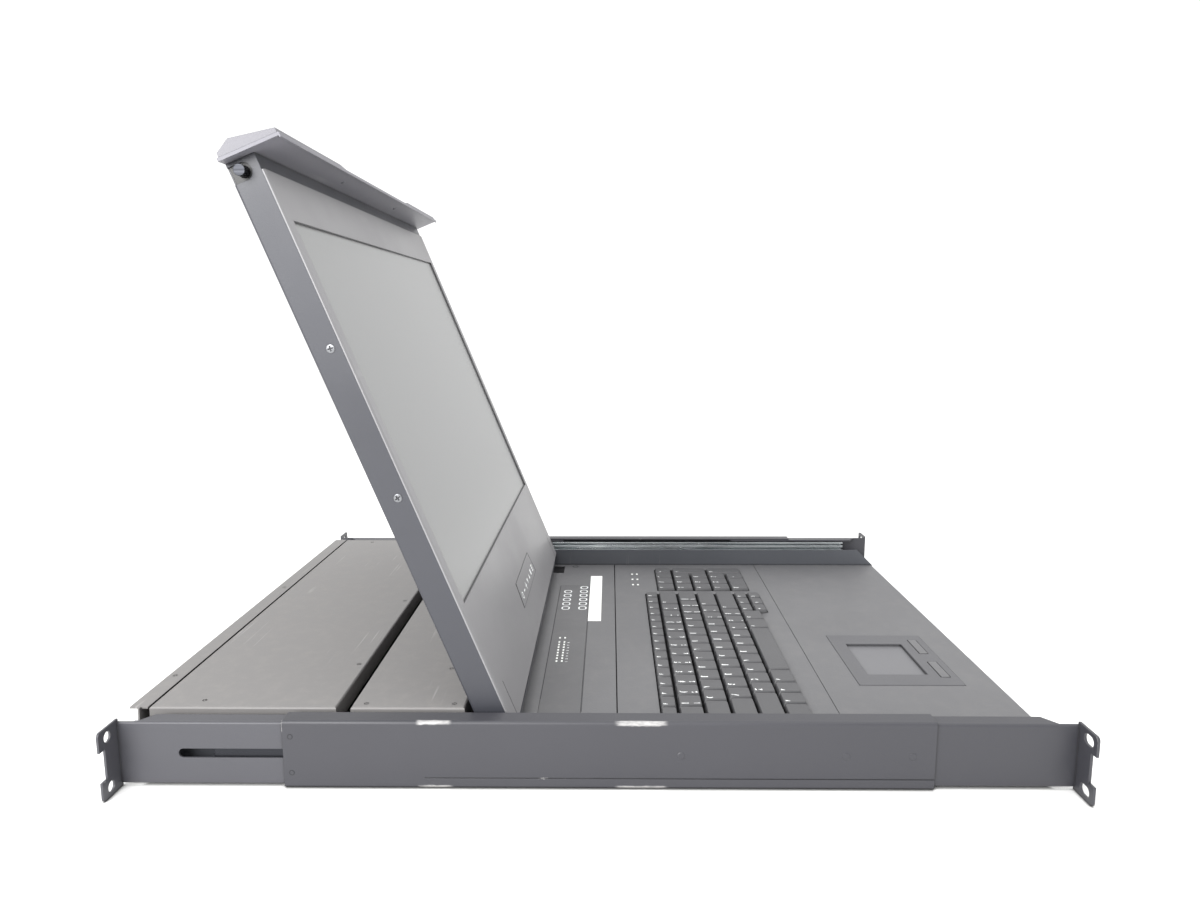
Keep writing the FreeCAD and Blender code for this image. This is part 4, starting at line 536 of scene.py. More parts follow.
def solids_of(node):
    """Boxes (low corner, high corner) of the separate solids in a CAD node, ordered along X."""
    shape = bmesh.new()
    shape.from_mesh(NODES[node].data)
    bmesh.ops.remove_doubles(shape, verts=shape.verts, dist=0.01 * MM)
    boxes, waiting = [], set(shape.verts)
    while waiting:
        group, edge_of = [], [waiting.pop()]
        while edge_of:
            vert = edge_of.pop()
            group.append(vert.co.copy())
            for edge in vert.link_edges:
                other = edge.other_vert(vert)
                if other in waiting:
                    waiting.discard(other)
                    edge_of.append(other)
        boxes.append((Vector(map(min, zip(*group))), Vector(map(max, zip(*group)))))
    shape.free()
    return sorted(boxes, key=lambda box: (round(box[0].x, 4), -box[0].y))


def main_face_normal(node):
    """Direction of the widest flat face of a CAD node."""
    return max(NODES[node].data.polygons, key=lambda face: face.area).normal.copy()


def ring(shape, points):
    return [shape.verts.new(point) for point in points]


def raised(outline, height, place=Matrix.Identity(4)):
    """Points of a flat outline at a height above a place."""
    return [place @ Vector((x, y, height)) for x, y in outline]


def stack(shape, loops, closed=True):
    """Joins rings in order and, if closed, caps both ends."""
    for lower, upper in zip(loops, loops[1:]):
        for index in range(len(lower)):
            shape.faces.new((lower[index - 1], lower[index], upper[index], upper[index - 1]))
    if closed:
        shape.faces.new(loops[0])
        shape.faces.new(loops[-1])


def loop_edges(shape, loop):
    return [shape.edges.get((a, b)) or shape.edges.new((a, b)) for a, b in zip(loop, loop[1:] + loop[:1])]


def fill_between(shape, outer, inners, normal):
    edges = loop_edges(shape, outer)
    for inner in inners:
        edges += loop_edges(shape, inner)
    bmesh.ops.triangle_fill(shape, use_beauty=True, edges=edges, normal=normal)


def circle(place, radius, height, count=24, turn=0.0):
    """Points on a circle about a place's own Z axis."""
    steps = [turn + math.tau * index / count for index in range(count)]
    return [place @ Vector((radius * math.cos(a), radius * math.sin(a), height)) for a in steps]


def facing(centre, normal, turn=0.0):
    """Placement with its Z axis along a normal."""
    turned = normal.to_track_quat("Z", "Y").to_matrix().to_4x4() @ Matrix.Rotation(turn, 4, "Z")
    return Matrix.Translation(centre) @ turned


def rounded_outline(middle, half_x, half_y, radius, steps=4):
    """Points of a rectangle with round corners, counter-clockwise in X and Y."""
    points = []
    for corner, (sx, sy) in enumerate(((1, 1), (-1, 1), (-1, -1), (1, -1))):
        centre_x, centre_y = middle.x + sx * (half_x - radius), middle.y + sy * (half_y - radius)
        for step in range(steps + 1):
            turn = math.pi / 2 * (corner + step / steps)
            points.append((centre_x + radius * math.cos(turn), centre_y + radius * math.sin(turn)))
    return points


def cross_outline(arm, half):
    """Points of an upright cross, counter-clockwise, from the length and half width of its arms."""
    return [(c * x - s * y, s * x + c * y) for c, s in ((1, 0), (0, 1), (-1, 0), (0, -1))
            for x, y in ((arm, -half), (arm, half), (half, half))]


def cross_screw(shape, place, radius, rise):
    """Low domed screw head with a cross recess."""
    depth = 1.1 * rise + 0.35 * radius
    outline = cross_outline(0.62 * radius, 0.15 * radius)
    mouth = ring(shape, raised(outline, rise, place))
    floor = ring(shape, raised([(x * 0.7, y * 0.6) for x, y in outline], rise - depth, place))
    sunk = max(0.2 * MM, depth - rise + 0.1 * MM)
    head = [ring(shape, circle(place, part * radius, height)) for part, height in
            ((0.74, rise), (0.93, 0.72 * rise), (1.0, 0.25 * rise), (1.0, -sunk))]
    fill_between(shape, head[0], [mouth], place.to_3x3() @ UP)
    stack(shape, head, closed=False)
    stack(shape, [mouth, floor], closed=False)
    shape.faces.new(floor)
    shape.faces.new(head[-1])


def low_disc(shape, place, radius, profile):
    """Turned disc. profile holds (share of the radius, height in mm) from the foot to the middle."""
    stack(shape, [ring(shape, circle(place, radius * part, height * MM)) for part, height in profile])


def slab(shape, corners, thickness, normal):
    """Thin plate on a surface through its corners."""
    stack(shape, [ring(shape, corners), ring(shape, [point + normal * thickness for point in corners])])


def frame_mark(shape, outer, inner, thickness, normal):
    """Printed outline: the band between two loops with the same number of points."""
    loops = [ring(shape, [point + normal * lift for point in loop]) for loop, lift in
             ((outer, 0.0), (outer, thickness), (inner, thickness), (inner, 0.0))]
    stack(shape, loops + loops[:1], closed=False)


# size of the font for a capital of height 1, and how much its strokes are thickened
SIZE_OF_CAPITAL = 1.42
STROKE_GROWTH = 0.06


def print_text(shape, text, height, place, settle=None):
    """Adds a line of raised text at a placement. settle(point) may move its points onto a surface."""
    curve = bpy.data.curves.new("legend", "FONT")
    curve.body = text
    curve.size = height * SIZE_OF_CAPITAL
    curve.extrude = sizes().ink / 2
    curve.offset = height * STROKE_GROWTH
    curve.resolution_u = 2
    holder = bpy.data.objects.new("legend", curve)
    bpy.context.scene.collection.objects.link(holder)
    bpy.context.view_layer.update()
    mesh = bpy.data.meshes.new_from_object(holder)
    start = len(shape.verts)
    shape.from_mesh(mesh)
    bpy.data.objects.remove(holder)
    bpy.data.curves.remove(curve)
    bpy.data.meshes.remove(mesh)
    shape.verts.ensure_lookup_table()
    for vert in shape.verts[start:]:
        point = place @ vert.co
        vert.co = settle(point) if settle else point


# ---------------------------------------------------------------- lid places
HINGE = next(joint for joint in frame["joints"] if joint["name"] == "lid_hinge")
HINGE_POINT = Vector(HINGE["pos_m"])


def lid_axes():
    """Directions up the lid and out of its face at rest."""
    out = main_face_normal("lcd_panel")
    if out.y > 0:
        out = -out
    up = Vector((1, 0, 0)).cross(out)
    return (up if up.z > 0 else -up), out


LID_UP, LID_OUT = lid_axes()


def on_lid(x, up, out):
    return Vector((x, HINGE_POINT.y, HINGE_POINT.z)) + LID_UP * up + LID_OUT * out


def lid_span(node):
    """Low and high places of a lid node across, up and out of the lid."""
    points = [vert.co - HINGE_POINT for vert in NODES[node].data.vertices]
    columns = [[p.x for p in points], [p.dot(LID_UP) for p in points], [p.dot(LID_OUT) for p in points]]
    return [(min(column), max(column)) for column in columns]


def between(low, high, fraction):
    return low + (high - low) * fraction


# ---------------------------------------------------------------- keys
# legends of each row in the order of its keys; a pair is the plain and the shifted mark
LEGENDS = {
    "function_keys": ["Esc", *[f"F{number}" for number in range(1, 13)], "Prt", "Scr", "Brk"],
    "number_keys": ["`~", "1!", "2@", "3#", "4$", "5%", "6^", "7&", "8*", "9(", "0)", "-_", "=+", "Back"],
    "upper_letter_keys": ["Tab", *"QWERTYUIOP", "[{", "]}", "\\|"],
    "home_letter_keys": ["Caps", *"ASDFGHJKL", ";:", "'\"", "Enter"],
    "lower_letter_keys": ["Shift", *"ZXCVBNM", ",<", ".>", "/?", "Shift"],
    "modifier_keys": ["Ctrl", "Fn", "Menu", "Alt", "Alt", "Ctrl"],
    "space_bar": [""],
    "arrow_keys": ["PgUp", "<", "^", "v", "PgDn", ">"],
    "number_pad_keys": ["Num", "7", "4", "1", "0", "/", *"852*963.-+", "Ent"],
}
# how far from a key's ends its hollow starts to rise
DISH_REACH = 9 * MM


def key_top(low, high):
    """Height of a dished keycap top at a point. The hollow is level along the middle of a wide key."""
    middle_x, half = (low.x + high.x) / 2, (high.x - low.x) / 2
    reach = min(half, DISH_REACH)

    def height(point):
        away = max(abs(point.x - middle_x) - (half - reach), 0) / reach
        return high.z - sizes().dish * (1 - min(away, 1) ** 2)
    return height


def keycap(shape, low, high):
    """Moulded keycap: straight skirt, sloping sides, soft rim and a hollow top."""
    middle = (low + high) / 2
    half_x, half_y = (high.x - low.x) / 2, (high.y - low.y) / 2
    inset = min(sizes().key_inset, half_y * 0.3)
    top = key_top(low, high)
    rise = high.z - low.z
    # shares of the inset, heights and corner radii of the rings; those without a height lie on the dish
    rings = [(0.0, low.z, 0.6 * MM), (0.0, low.z + 0.22 * rise, 0.6 * MM),
             (0.72, high.z - 0.9 * MM, 1.2 * MM), (0.9, high.z - 0.3 * MM, 1.5 * MM),
             (1.15, None, 1.5 * MM), (2.2, None, 1.3 * MM)]
    loops = []
    for part, z, radius in rings:
        pull = part * inset
        outline = rounded_outline(middle, half_x - pull, half_y - pull, min(radius, half_y - pull - 0.1 * MM))
        points = raised(outline, z or 0.0)
        if z is None:
            points = [Vector((p.x, p.y, top(p))) for p in points]
        loops.append(ring(shape, points))
    stack(shape, loops)


def legend(shape, text, low, high):
    """Prints a letter or word at the upper left of a key's top, or a pair one above the other."""
    if not text:
        return
    top, inset, ink = key_top(low, high), 2.2 * sizes().key_inset, sizes().ink
    left, rear, front = low.x + inset * 0.8, high.y - inset * 0.8, low.y + inset * 0.8
    paired = len(text) == 2 and not text[0].isalpha() and not text.isdigit()
    marks = [(text, rear, 1.0)]
    if paired:
        marks = [(text[1], rear, 1.0), (text[0], front + sizes().letter * 0.8, 0.8)]
    for mark, upper_y, scale in marks:
        height = (sizes().letter if len(mark) == 1 else sizes().word) * scale
        height = min(height, (high.y - low.y) * 0.34)
        print_text(shape, mark, height, Matrix.Translation((left, upper_y - height, 0)),
                   lambda p: Vector((p.x, p.y, top(p) + ink * 0.6 + p.z)))


def dress_keys(node, legends):
    """Replaces a row's plain keys by moulded keycaps with printed legends."""
    boxes = solids_of(node)
    if len(boxes) != len(legends):
        raise RuntimeError(f"{node} has {len(boxes)} keys and {len(legends)} legends")
    caps, marks = bmesh.new(), bmesh.new()
    for (low, high), text in zip(boxes, legends):
        keycap(caps, low, high)
        legend(marks, text, low, high)
    body = BODY_OF[node]
    smooth(add_piece(node + "_caps", caps, body, "key_plastic", [node]), math.radians(50))
    if len(marks.verts):
        add_piece(node + "_legends", marks, body, "print_ink")
    else:
        marks.free()


# ---------------------------------------------------------------- operators
class CONSOLE_OT_finish_racking(bpy.types.Operator):
    """Gives the rails, brackets, studs and slide members their coats and plating"""
    bl_idname = "console.finish_racking"
    bl_label = "Rails and slides"

    def execute(self, context):
        finish_nodes(*nodes_with("_rail", "front_bracket", "rear_bracket"))
        finish_nodes(*nodes_with("slide", "cage"))
        # painted shade: the backs of the tracks are darkened where the bracket's slot shows shade
        self.darken_back("left_slide_track", -1)
        self.darken_back("right_slide_track", 1)
        return {"FINISHED"}

    def darken_back(self, node, side):
        """Paints the back of a slide track, which shows through the bracket's slot, dark: painted shade for the
        shadow in the slot.
        """
        mesh = NODES[node].data
        mesh.materials.append(slot_finish("dark_steel"))
        for face in mesh.polygons:
            if face.normal.x * side > 0.9:
                face.material_index = 1


class CONSOLE_OT_finish_bay(bpy.types.Operator):
    """Gives the tray, covers, rear panel, boards and inlet their finishes"""
    bl_idname = "console.finish_bay"
    bl_label = "Rear bay"

    def execute(self, context):
        finish_nodes("drawer_tray", "electronics_cover", "cable_cover", "rear_panel", "video_connectors",
                     "power_inlet", "switch_frame", "power_rocker", "switch_board", "power_supply")
        return {"FINISHED"}


class CONSOLE_OT_finish_deck(bpy.types.Operator):
    """Gives the palm rest, keyboard frame, control panel and touchpad their finishes"""
    bl_idname = "console.finish_deck"
    bl_label = "Deck"

    def execute(self, context):
        finish_nodes("palm_rest", "keyboard_frame", "control_panel", "control_overlay", "indicator_lights",
                     "blank_label", "touchpad_surface", *PAD_BUTTONS, "key_bed")
        finish_nodes(*nodes_with("_keys", "space_bar"))
        return {"FINISHED"}


class CONSOLE_OT_finish_lid(bpy.types.Operator):
    """Gives the lid, screen, hinges, handle and latches their finishes"""
    bl_idname = "console.finish_lid"
    bl_label = "Lid"

    def execute(self, context):
        finish_nodes("hinge_brackets", "hinge_pins", "lid_shell", "screen_bezel", "lcd_panel",
                     "display_board", "handle_plate", "handle_grips", "latch_housings")
        finish_nodes("left_latch_pin", "right_latch_pin", slot="dark_steel")
        finish_nodes("menu_strip", slot="bezel_paint")
        return {"FINISHED"}


class CONSOLE_OT_keycaps(bpy.types.Operator):
    """Moulds the keycaps and prints their legends"""
    bl_idname = "console.keycaps"
    bl_label = "Keycaps"

    def execute(self, context):
        for node, legends in LEGENDS.items():
            dress_keys(node, legends)
        return {"FINISHED"}


def loops_at(shape, outline, heights):
    """Rings of one outline at several (height, pull) steps. A pull below zero widens the ring."""
    middle, half_x, half_y, radius = outline
    loops = []
    for z, pull in heights:
        points = rounded_outline(middle, half_x - pull, half_y - pull, radius - min(pull, radius * 0.6))
        loops.append(ring(shape, raised(points, z)))
    return loops


PAD_BUTTONS = ("touchpad_left_button", "touchpad_right_button")
# how far the frame reaches beyond the pad at the sides, the front and the rear
PAD_FRAME_SIDE, PAD_FRAME_FRONT, PAD_FRAME_REAR = 17.5 * MM, 19.0 * MM, 10.0 * MM
PAD_FRAME_RECESS = 0.8 * MM
PAD_FRAME_EDGE = 0.3 * MM
PAD_LIP = 2.0 * MM


class CONSOLE_OT_touchpad(bpy.types.Operator):
    """Fits the raised frame round the touchpad and the rounded caps of its two buttons"""
    bl_idname = "console.touchpad"
    bl_label = "Touchpad"

    def execute(self, context):
        low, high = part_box("touchpad_surface")
        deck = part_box("palm_rest")[1].z
        floor, top = deck - PAD_FRAME_RECESS, deck + sizes().pad_frame
        frame_low = low - Vector((PAD_FRAME_SIDE, PAD_FRAME_FRONT, 0))
        frame_high = high + Vector((PAD_FRAME_SIDE, PAD_FRAME_REAR, 0))
        lip = Vector((PAD_LIP, PAD_LIP, 0))
        # the frame's outline and the openings for the pad and its buttons
        outlines = [(self.outline(frame_low, frame_high, -0.15 * MM, 1.5 * MM), PAD_FRAME_EDGE),
                    (self.outline(low + lip, high - lip, 0.0, 1.2 * MM), -PAD_FRAME_EDGE)]
        for node in PAD_BUTTONS:
            outlines.append((self.outline(*self.cap_box(node), 0.3 * MM, 1.0 * MM), -PAD_FRAME_EDGE))
        shape = bmesh.new()
        outer, *inner = [loops_at(shape, outline, [(floor, 0.0), (top - PAD_FRAME_EDGE, 0.0), (top, pull)])
                         for outline, pull in outlines]
        for loops in (outer, *inner):
            stack(shape, loops, closed=False)
        fill_between(shape, outer[-1], [loops[-1] for loops in inner], UP)
        fill_between(shape, outer[0], [loops[0] for loops in inner], -UP)
        smooth(add_piece("touchpad_frame", shape, "drawer", "frame_plastic"))
        for node in PAD_BUTTONS:
            self.button(node, top + sizes().pad_frame)
        return {"FINISHED"}

    def outline(self, low, high, grow, radius):
        return (low + high) / 2, (high.x - low.x) / 2 + grow, (high.y - low.y) / 2 + grow, radius

    def cap_box(self, node):
        """Box of a button's cap, without the lip that holds it under the palm rest."""
        low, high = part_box(node)
        lip = Vector((MM, MM, 0))
        return low + lip, high - lip

    def button(self, node, top):
        low, high = self.cap_box(node)
        shape = bmesh.new()
        steps = [(low.z, 0.0), (top - 0.5 * MM, 0.0), (top - 0.12 * MM, 0.25 * MM), (top, 0.7 * MM)]
        stack(shape, loops_at(shape, self.outline(low, high, 0.0, 1.0 * MM), steps))
        smooth(add_piece(node + "_cap", shape, BODY_OF[node], "deck_plastic", [node]))


LARGEST_BALL = 12 * MM


class CONSOLE_OT_slide_balls(bpy.types.Operator):
    """Turns round balls in the cages of the slides"""
    bl_idname = "console.slide_balls"
    bl_label = "Slide balls"

    def execute(self, context):
        for node in nodes_with("ball_cage"):
            shape = bmesh.new()
            for low, high in solids_of(node):
                if (high - low).length <= LARGEST_BALL:
                    radius = (high.y - low.y) / 2 + 0.01 * MM
                    bmesh.ops.create_uvsphere(shape, u_segments=20, v_segments=12, radius=radius,
                                              matrix=Matrix.Translation((low + high) / 2))
            smooth(add_piece(node + "_balls", shape, BODY_OF[node], "ball_steel"), math.pi)
        return {"FINISHED"}


# places along a rail as shares of its length; the dimples' spacing is a share of its height
RIVET_FRACTIONS = (0.035, 0.136, 0.388)
DIMPLE_FRACTION = 0.988
DIMPLE_SPACING = 0.54
RIVET_PROFILE = ((1.0, -0.3), (1.0, 0.02), (0.9, 0.12), (0.6, 0.16), (0.3, 0.17))
DIMPLE_PROFILE = ((1.0, -0.3), (1.0, 0.1), (0.8, 0.12), (0.6, -0.1), (0.3, -0.2))


class CONSOLE_OT_rail_marks(bpy.types.Operator):
    """Sets flush rivets and round dimples in the sides of both rails"""
    bl_idname = "console.rail_marks"
    bl_label = "Rail rivets"

    def execute(self, context):
        for side, name in ((-1, "left_outer_rail"), (1, "right_outer_rail")):
            low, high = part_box(name)
            face_x = high.x if side > 0 else low.x
            middle_z, half = (low.z + high.z) / 2, (high.z - low.z) * DIMPLE_SPACING / 2
            rivets = [(fraction, middle_z) for fraction in RIVET_FRACTIONS]
            dimples = [(DIMPLE_FRACTION, middle_z - half), (DIMPLE_FRACTION, middle_z + half)]
            for kind, places, radius, profile, slot in (
                    ("_rivets", rivets, sizes().rivet, RIVET_PROFILE, "rail_paint"),
                    ("_dimples", dimples, sizes().dimple, DIMPLE_PROFILE, "groove_ink")):
                shape = bmesh.new()
                for fraction, z in places:
                    centre = Vector((face_x, between(low.y, high.y, fraction), z))
                    low_disc(shape, facing(centre, Vector((side, 0, 0))), radius, profile)
                smooth(add_piece(name + kind, shape, "rack_rails", slot))
        return {"FINISHED"}


# places of the screws as shares of each cover's width and depth; each head is sunk by its own height
COVER_SCREWS = {
    "electronics_cover": ((0.0244, 0.741), (0.9756, 0.741), (0.5, 0.045), (0.166, 0.045), (0.834, 0.045)),
    "cable_cover": ((0.149, 0.27), (0.851, 0.27), (0.0146, 0.103), (0.9854, 0.103),
                    (0.0146, 0.881), (0.9854, 0.881)),
    "rear_panel": ((0.121, 0.6), (0.589, 0.45)),
}
COVER_SCREW_RISE = 0.15 * MM


class CONSOLE_OT_cover_screws(bpy.types.Operator):
    """Screws down the covers of the rear bay"""
    bl_idname = "console.cover_screws"
    bl_label = "Cover screws"

    def execute(self, context):
        for node, places in COVER_SCREWS.items():
            low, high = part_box(node)
            shape = bmesh.new()
            for index, (across, along) in enumerate(places):
                centre = Vector((between(low.x, high.x, across), between(low.y, high.y, along),
                                 high.z - COVER_SCREW_RISE))
                cross_screw(shape, facing(centre, UP, 0.4 + index), sizes().cover_screw, COVER_SCREW_RISE)
            smooth(add_piece(node + "_screws", shape, "drawer", "screw_steel"))
        return {"FINISHED"}


# screws in the lid's sides: shares of its height, and the share of its thickness
LID_SIDE_SCREWS, LID_SCREW_FRACTION = (0.44, 0.693), 0.66
# screws under the handle: places along X, and the share of its thickness
HANDLE_SCREWS, HANDLE_SCREW_FRACTION = (-0.071, 0.077), 0.73
LID_SCREW_RISE = 0.5 * MM


class CONSOLE_OT_lid_screws(bpy.types.Operator):
    """Screws the bezel to the lid's sides and the handle to its head"""
    bl_idname = "console.lid_screws"
    bl_label = "Lid screws"

    def execute(self, context):
        (x0, x1), (u0, u1), (v0, v1) = lid_span("lid_shell")
        shape = bmesh.new()
        for side, face_x in ((-1, x0), (1, x1)):
            for fraction in LID_SIDE_SCREWS:
                centre = on_lid(face_x, between(u0, u1, fraction), between(v0, v1, LID_SCREW_FRACTION))
                place = facing(centre, Vector((side, 0, 0)), fraction * 5)
                cross_screw(shape, place, sizes().lid_screw, LID_SCREW_RISE)
        back, front = lid_span("handle_plate")[2]
        for x in HANDLE_SCREWS:
            centre = on_lid(x, u1, between(back, front, HANDLE_SCREW_FRACTION))
            cross_screw(shape, facing(centre, -LID_UP, x), sizes().handle_screw, LID_SCREW_RISE)
        smooth(add_piece("lid_screws", shape, "lid", "screw_steel"))
        return {"FINISHED"}


# a connector's flange, how far its screws stand from its middle, its sockets' pitch and the thread
FLANGE = 0.8 * MM
SCREW_OFFSET = 12.5 * MM
SOCKET_PITCH, ROW_PITCH, ROW_SHIFT = 2.29 * MM, 1.98 * MM, 0.57 * MM
THREAD_RADII, THREAD_STEP = (1.45 * MM, 1.25 * MM), 0.35 * MM


class CONSOLE_OT_port_faces(bpy.types.Operator):
    """Fits pin faces and hexagonal screws to the video connectors"""
    bl_idname = "console.port_faces"
    bl_label = "Connector faces"

    def execute(self, context):
        faces, screws = bmesh.new(), bmesh.new()
        for low, high in solids_of("video_connectors"):
            middle = (low + high) / 2
            self.pin_face(faces, facing(Vector((middle.x, high.y, middle.z)), REARWARD))
            for side in (-1, 1):
                foot = Vector((middle.x + side * SCREW_OFFSET, low.y + FLANGE, middle.z))
                self.jackscrew(screws, facing(foot, REARWARD, 0.3 * side))
        add_piece("connector_pin_faces", faces, "drawer", "inlet_plastic")
        smooth(add_piece("connector_jackscrews", screws, "drawer", "connector_steel"))
        return {"FINISHED"}

    def pin_face(self, shape, place):
        """Insulator with three rows of five sockets."""
        wide, high, lift, depth = 6.7 * MM, 2.9 * MM, 0.12 * MM, 0.9 * MM
        outline = [(MM - wide, -high), (wide - MM, -high), (wide, high), (-wide, high)]
        edge = ring(shape, raised(outline, lift, place))
        foot = ring(shape, raised(outline, lift - depth, place))
        stack(shape, [foot, edge], closed=False)
        shape.faces.new(foot)
        sockets = []
        for row in (-1, 0, 1):
            for column in range(-2, 3):
                across = column * SOCKET_PITCH + row * ROW_SHIFT
                centre = place @ Matrix.Translation((across, row * ROW_PITCH, 0))
                mouth = ring(shape, circle(centre, 0.5 * MM, lift, 8))
                floor = ring(shape, circle(centre, 0.45 * MM, lift - 0.7 * MM, 8))
                stack(shape, [mouth, floor], closed=False)
                shape.faces.new(floor)
                sockets.append(mouth)
        fill_between(shape, edge, sockets, place.to_3x3() @ UP)

    def jackscrew(self, shape, place):
        """Hexagonal post with a threaded hole."""
        corner, reach = sizes().jackscrew / math.sqrt(3), 4.6 * MM
        post = [ring(shape, circle(place, radius, height, 6)) for radius, height in
                ((corner, 0.0), (corner, reach - 0.3 * MM), (corner * 0.9, reach))]
        thread = [ring(shape, circle(place, THREAD_RADII[turn % 2], reach - turn * THREAD_STEP, 18))
                  for turn in range(7)]
        stack(shape, post, closed=False)
        stack(shape, thread, closed=False)
        fill_between(shape, post[-1], [thread[0]], place.to_3x3() @ UP)
        shape.faces.new(thread[-1])
        shape.faces.new(post[0])


# rows of outlined keys: how many, the first and last place along X, and the place along Y
KEY_ROWS = ((5, 0.1138, 0.0649, 0.0353), (6, 0.1267, 0.0650, 0.0195))
# half sizes and corner radius of an outline, and the width of its line
KEY_OUTLINE, KEY_LINE = (4.5 * MM, 3.9 * MM, 3.2 * MM), 1.15 * MM
# the numbered port lights end before these places along Y and X
PORT_LIGHTS_REAR, PORT_LIGHTS_RIGHT = 0.055, -15 * MM
# height of a port's number, and how far it lies in front of its light
DIGIT, DIGIT_DROP = 1.7 * MM, 3.6 * MM
# each dark line from and to a place along X, at a place along Y, and half its width
PANEL_LINES, LINE_HALF = ((-0.150, 0.027, 0.0135), (-0.130, 0.132, 0.0435)), 0.22 * MM
# place and radius of the round hole
PANEL_HOLE, HOLE_RADIUS = (0.2008, 0.0314), 3.2 * MM
HOLE_PROFILE = ((1.0, -0.4), (1.0, 0.12), (0.8125, 0.16), (0.75, -0.35))


class CONSOLE_OT_panel_print(bpy.types.Operator):
    """Prints the key outlines, lines and port numbers on the control panel"""
    bl_idname = "console.panel_print"
    bl_label = "Panel print"

    def execute(self, context):
        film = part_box("control_overlay")[1].z
        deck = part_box("control_panel")[1].z
        ink = sizes().ink
        white, dark = bmesh.new(), bmesh.new()
        for count, first, last, row_y in KEY_ROWS:
            for index in range(count):
                middle = Vector((between(first, last, index / (count - 1)), row_y, 0))
                loops = [raised(rounded_outline(middle, *[size - thin for size in KEY_OUTLINE]), film)
                         for thin in (0.0, KEY_LINE)]
                frame_mark(white, *loops, ink, UP)
        for x0, x1, y in PANEL_LINES:
            front, rear = y - LINE_HALF, y + LINE_HALF
            slab(dark, raised(((x0, front), (x1, front), (x1, rear), (x0, rear)), deck), ink, UP)
        self.light_numbers(white, film)
        add_piece("panel_key_outlines", white, "drawer", "print_ink")
        self.round_hole(deck)
        add_piece("panel_lines", dark, "drawer", "groove_ink")
        return {"FINISHED"}

    def light_numbers(self, shape, film):
        """Numbers the front row of port lights."""
        corners = [low for low, high in solids_of("indicator_lights")
                   if high.y < PORT_LIGHTS_REAR and high.x < PORT_LIGHTS_RIGHT]
        front = min(low.y for low in corners)
        row = sorted((low for low in corners if low.y < front + MM), key=lambda low: low.x)
        for number, low in enumerate(row, 1):
            place = Matrix.Translation((low.x, low.y - DIGIT_DROP, film + sizes().ink))
            print_text(shape, str(number), DIGIT, place)

    def round_hole(self, deck):
        """Rim of the round hole beside the right hinge, and its dark floor: painted shade for the hole's depth."""
        shape = bmesh.new()
        low_disc(shape, facing(Vector((*PANEL_HOLE, deck)), UP), HOLE_RADIUS, HOLE_PROFILE)
        # the whole disc takes the dark line colour; its floor is painted shade for the hole
        smooth(add_piece("panel_hole", shape, "drawer", "groove_ink"))


# half the width of an icon's strokes; lengths in an icon are in half sizes of it
THIN = 0.22
BAR = ((-1, -THIN), (1, -THIN), (1, THIN), (-1, THIN))
ARROW = ((-0.9, -0.7), (0.9, -0.7), (0.0, 0.9))
# flat outlines of each menu icon; the first one is a ring and has none
ICONS = (
    (),
    (BAR,),
    (cross_outline(1, THIN),),
    ([(x, -u) for x, u in ARROW],),
    (ARROW,),
    (((-0.8, -0.8), (0.8, -0.8), (0.8, 0.8), (-0.8, 0.8)),),
    [[(x, u + lift) for x, u in BAR] for lift in (-0.75, 0.0, 0.75)],
)


class CONSOLE_OT_menu_icons(bpy.types.Operator):
    """Prints plain icons on the screen's menu strip"""
    bl_idname = "console.menu_icons"
    bl_label = "Menu icons"

    def execute(self, context):
        (x0, x1), (u0, u1), (_, face) = lid_span("menu_strip")
        ink = sizes().ink
        shape = bmesh.new()
        middle_u = between(u0, u1, 0.35)
        size = (u1 - u0) * 0.15
        self.outline(face, ink)
        for index, outlines in enumerate(ICONS, 1):
            x = between(x0, x1, index / (len(ICONS) + 1))
            for outline in outlines:
                corners = [on_lid(x + dx * size, middle_u + du * size, face) for dx, du in outline]
                slab(shape, corners, ink, LID_OUT)
            if not outlines:
                self.ring_icon(shape, facing(on_lid(x, middle_u, face), LID_OUT), size)
        add_piece("menu_icons", shape, "lid", "print_ink")
        return {"FINISHED"}

    def outline(self, face, ink):
        """Dark line just inside the edge of the strip."""
        points = [vert.co.copy() for vert in NODES["menu_strip"].data.vertices
                  if (vert.co - HINGE_POINT).dot(LID_OUT) > face - 0.02 * MM]
        middle = sum(points, Vector()) / len(points)
        points.sort(key=lambda p: math.atan2((p - middle).dot(LID_UP), p.x - middle.x))
        inner = [point + (middle - point).normalized() * 1.2 * MM for point in points]
        shape = bmesh.new()
        frame_mark(shape, points, inner, ink, LID_OUT)
        add_piece("menu_strip_outline", shape, "lid", "groove_ink")

    def ring_icon(self, shape, place, size):
        frame_mark(shape, circle(place, size, 0.0, 20), circle(place, 0.65 * size, 0.0, 20), sizes().ink,
                   LID_OUT)


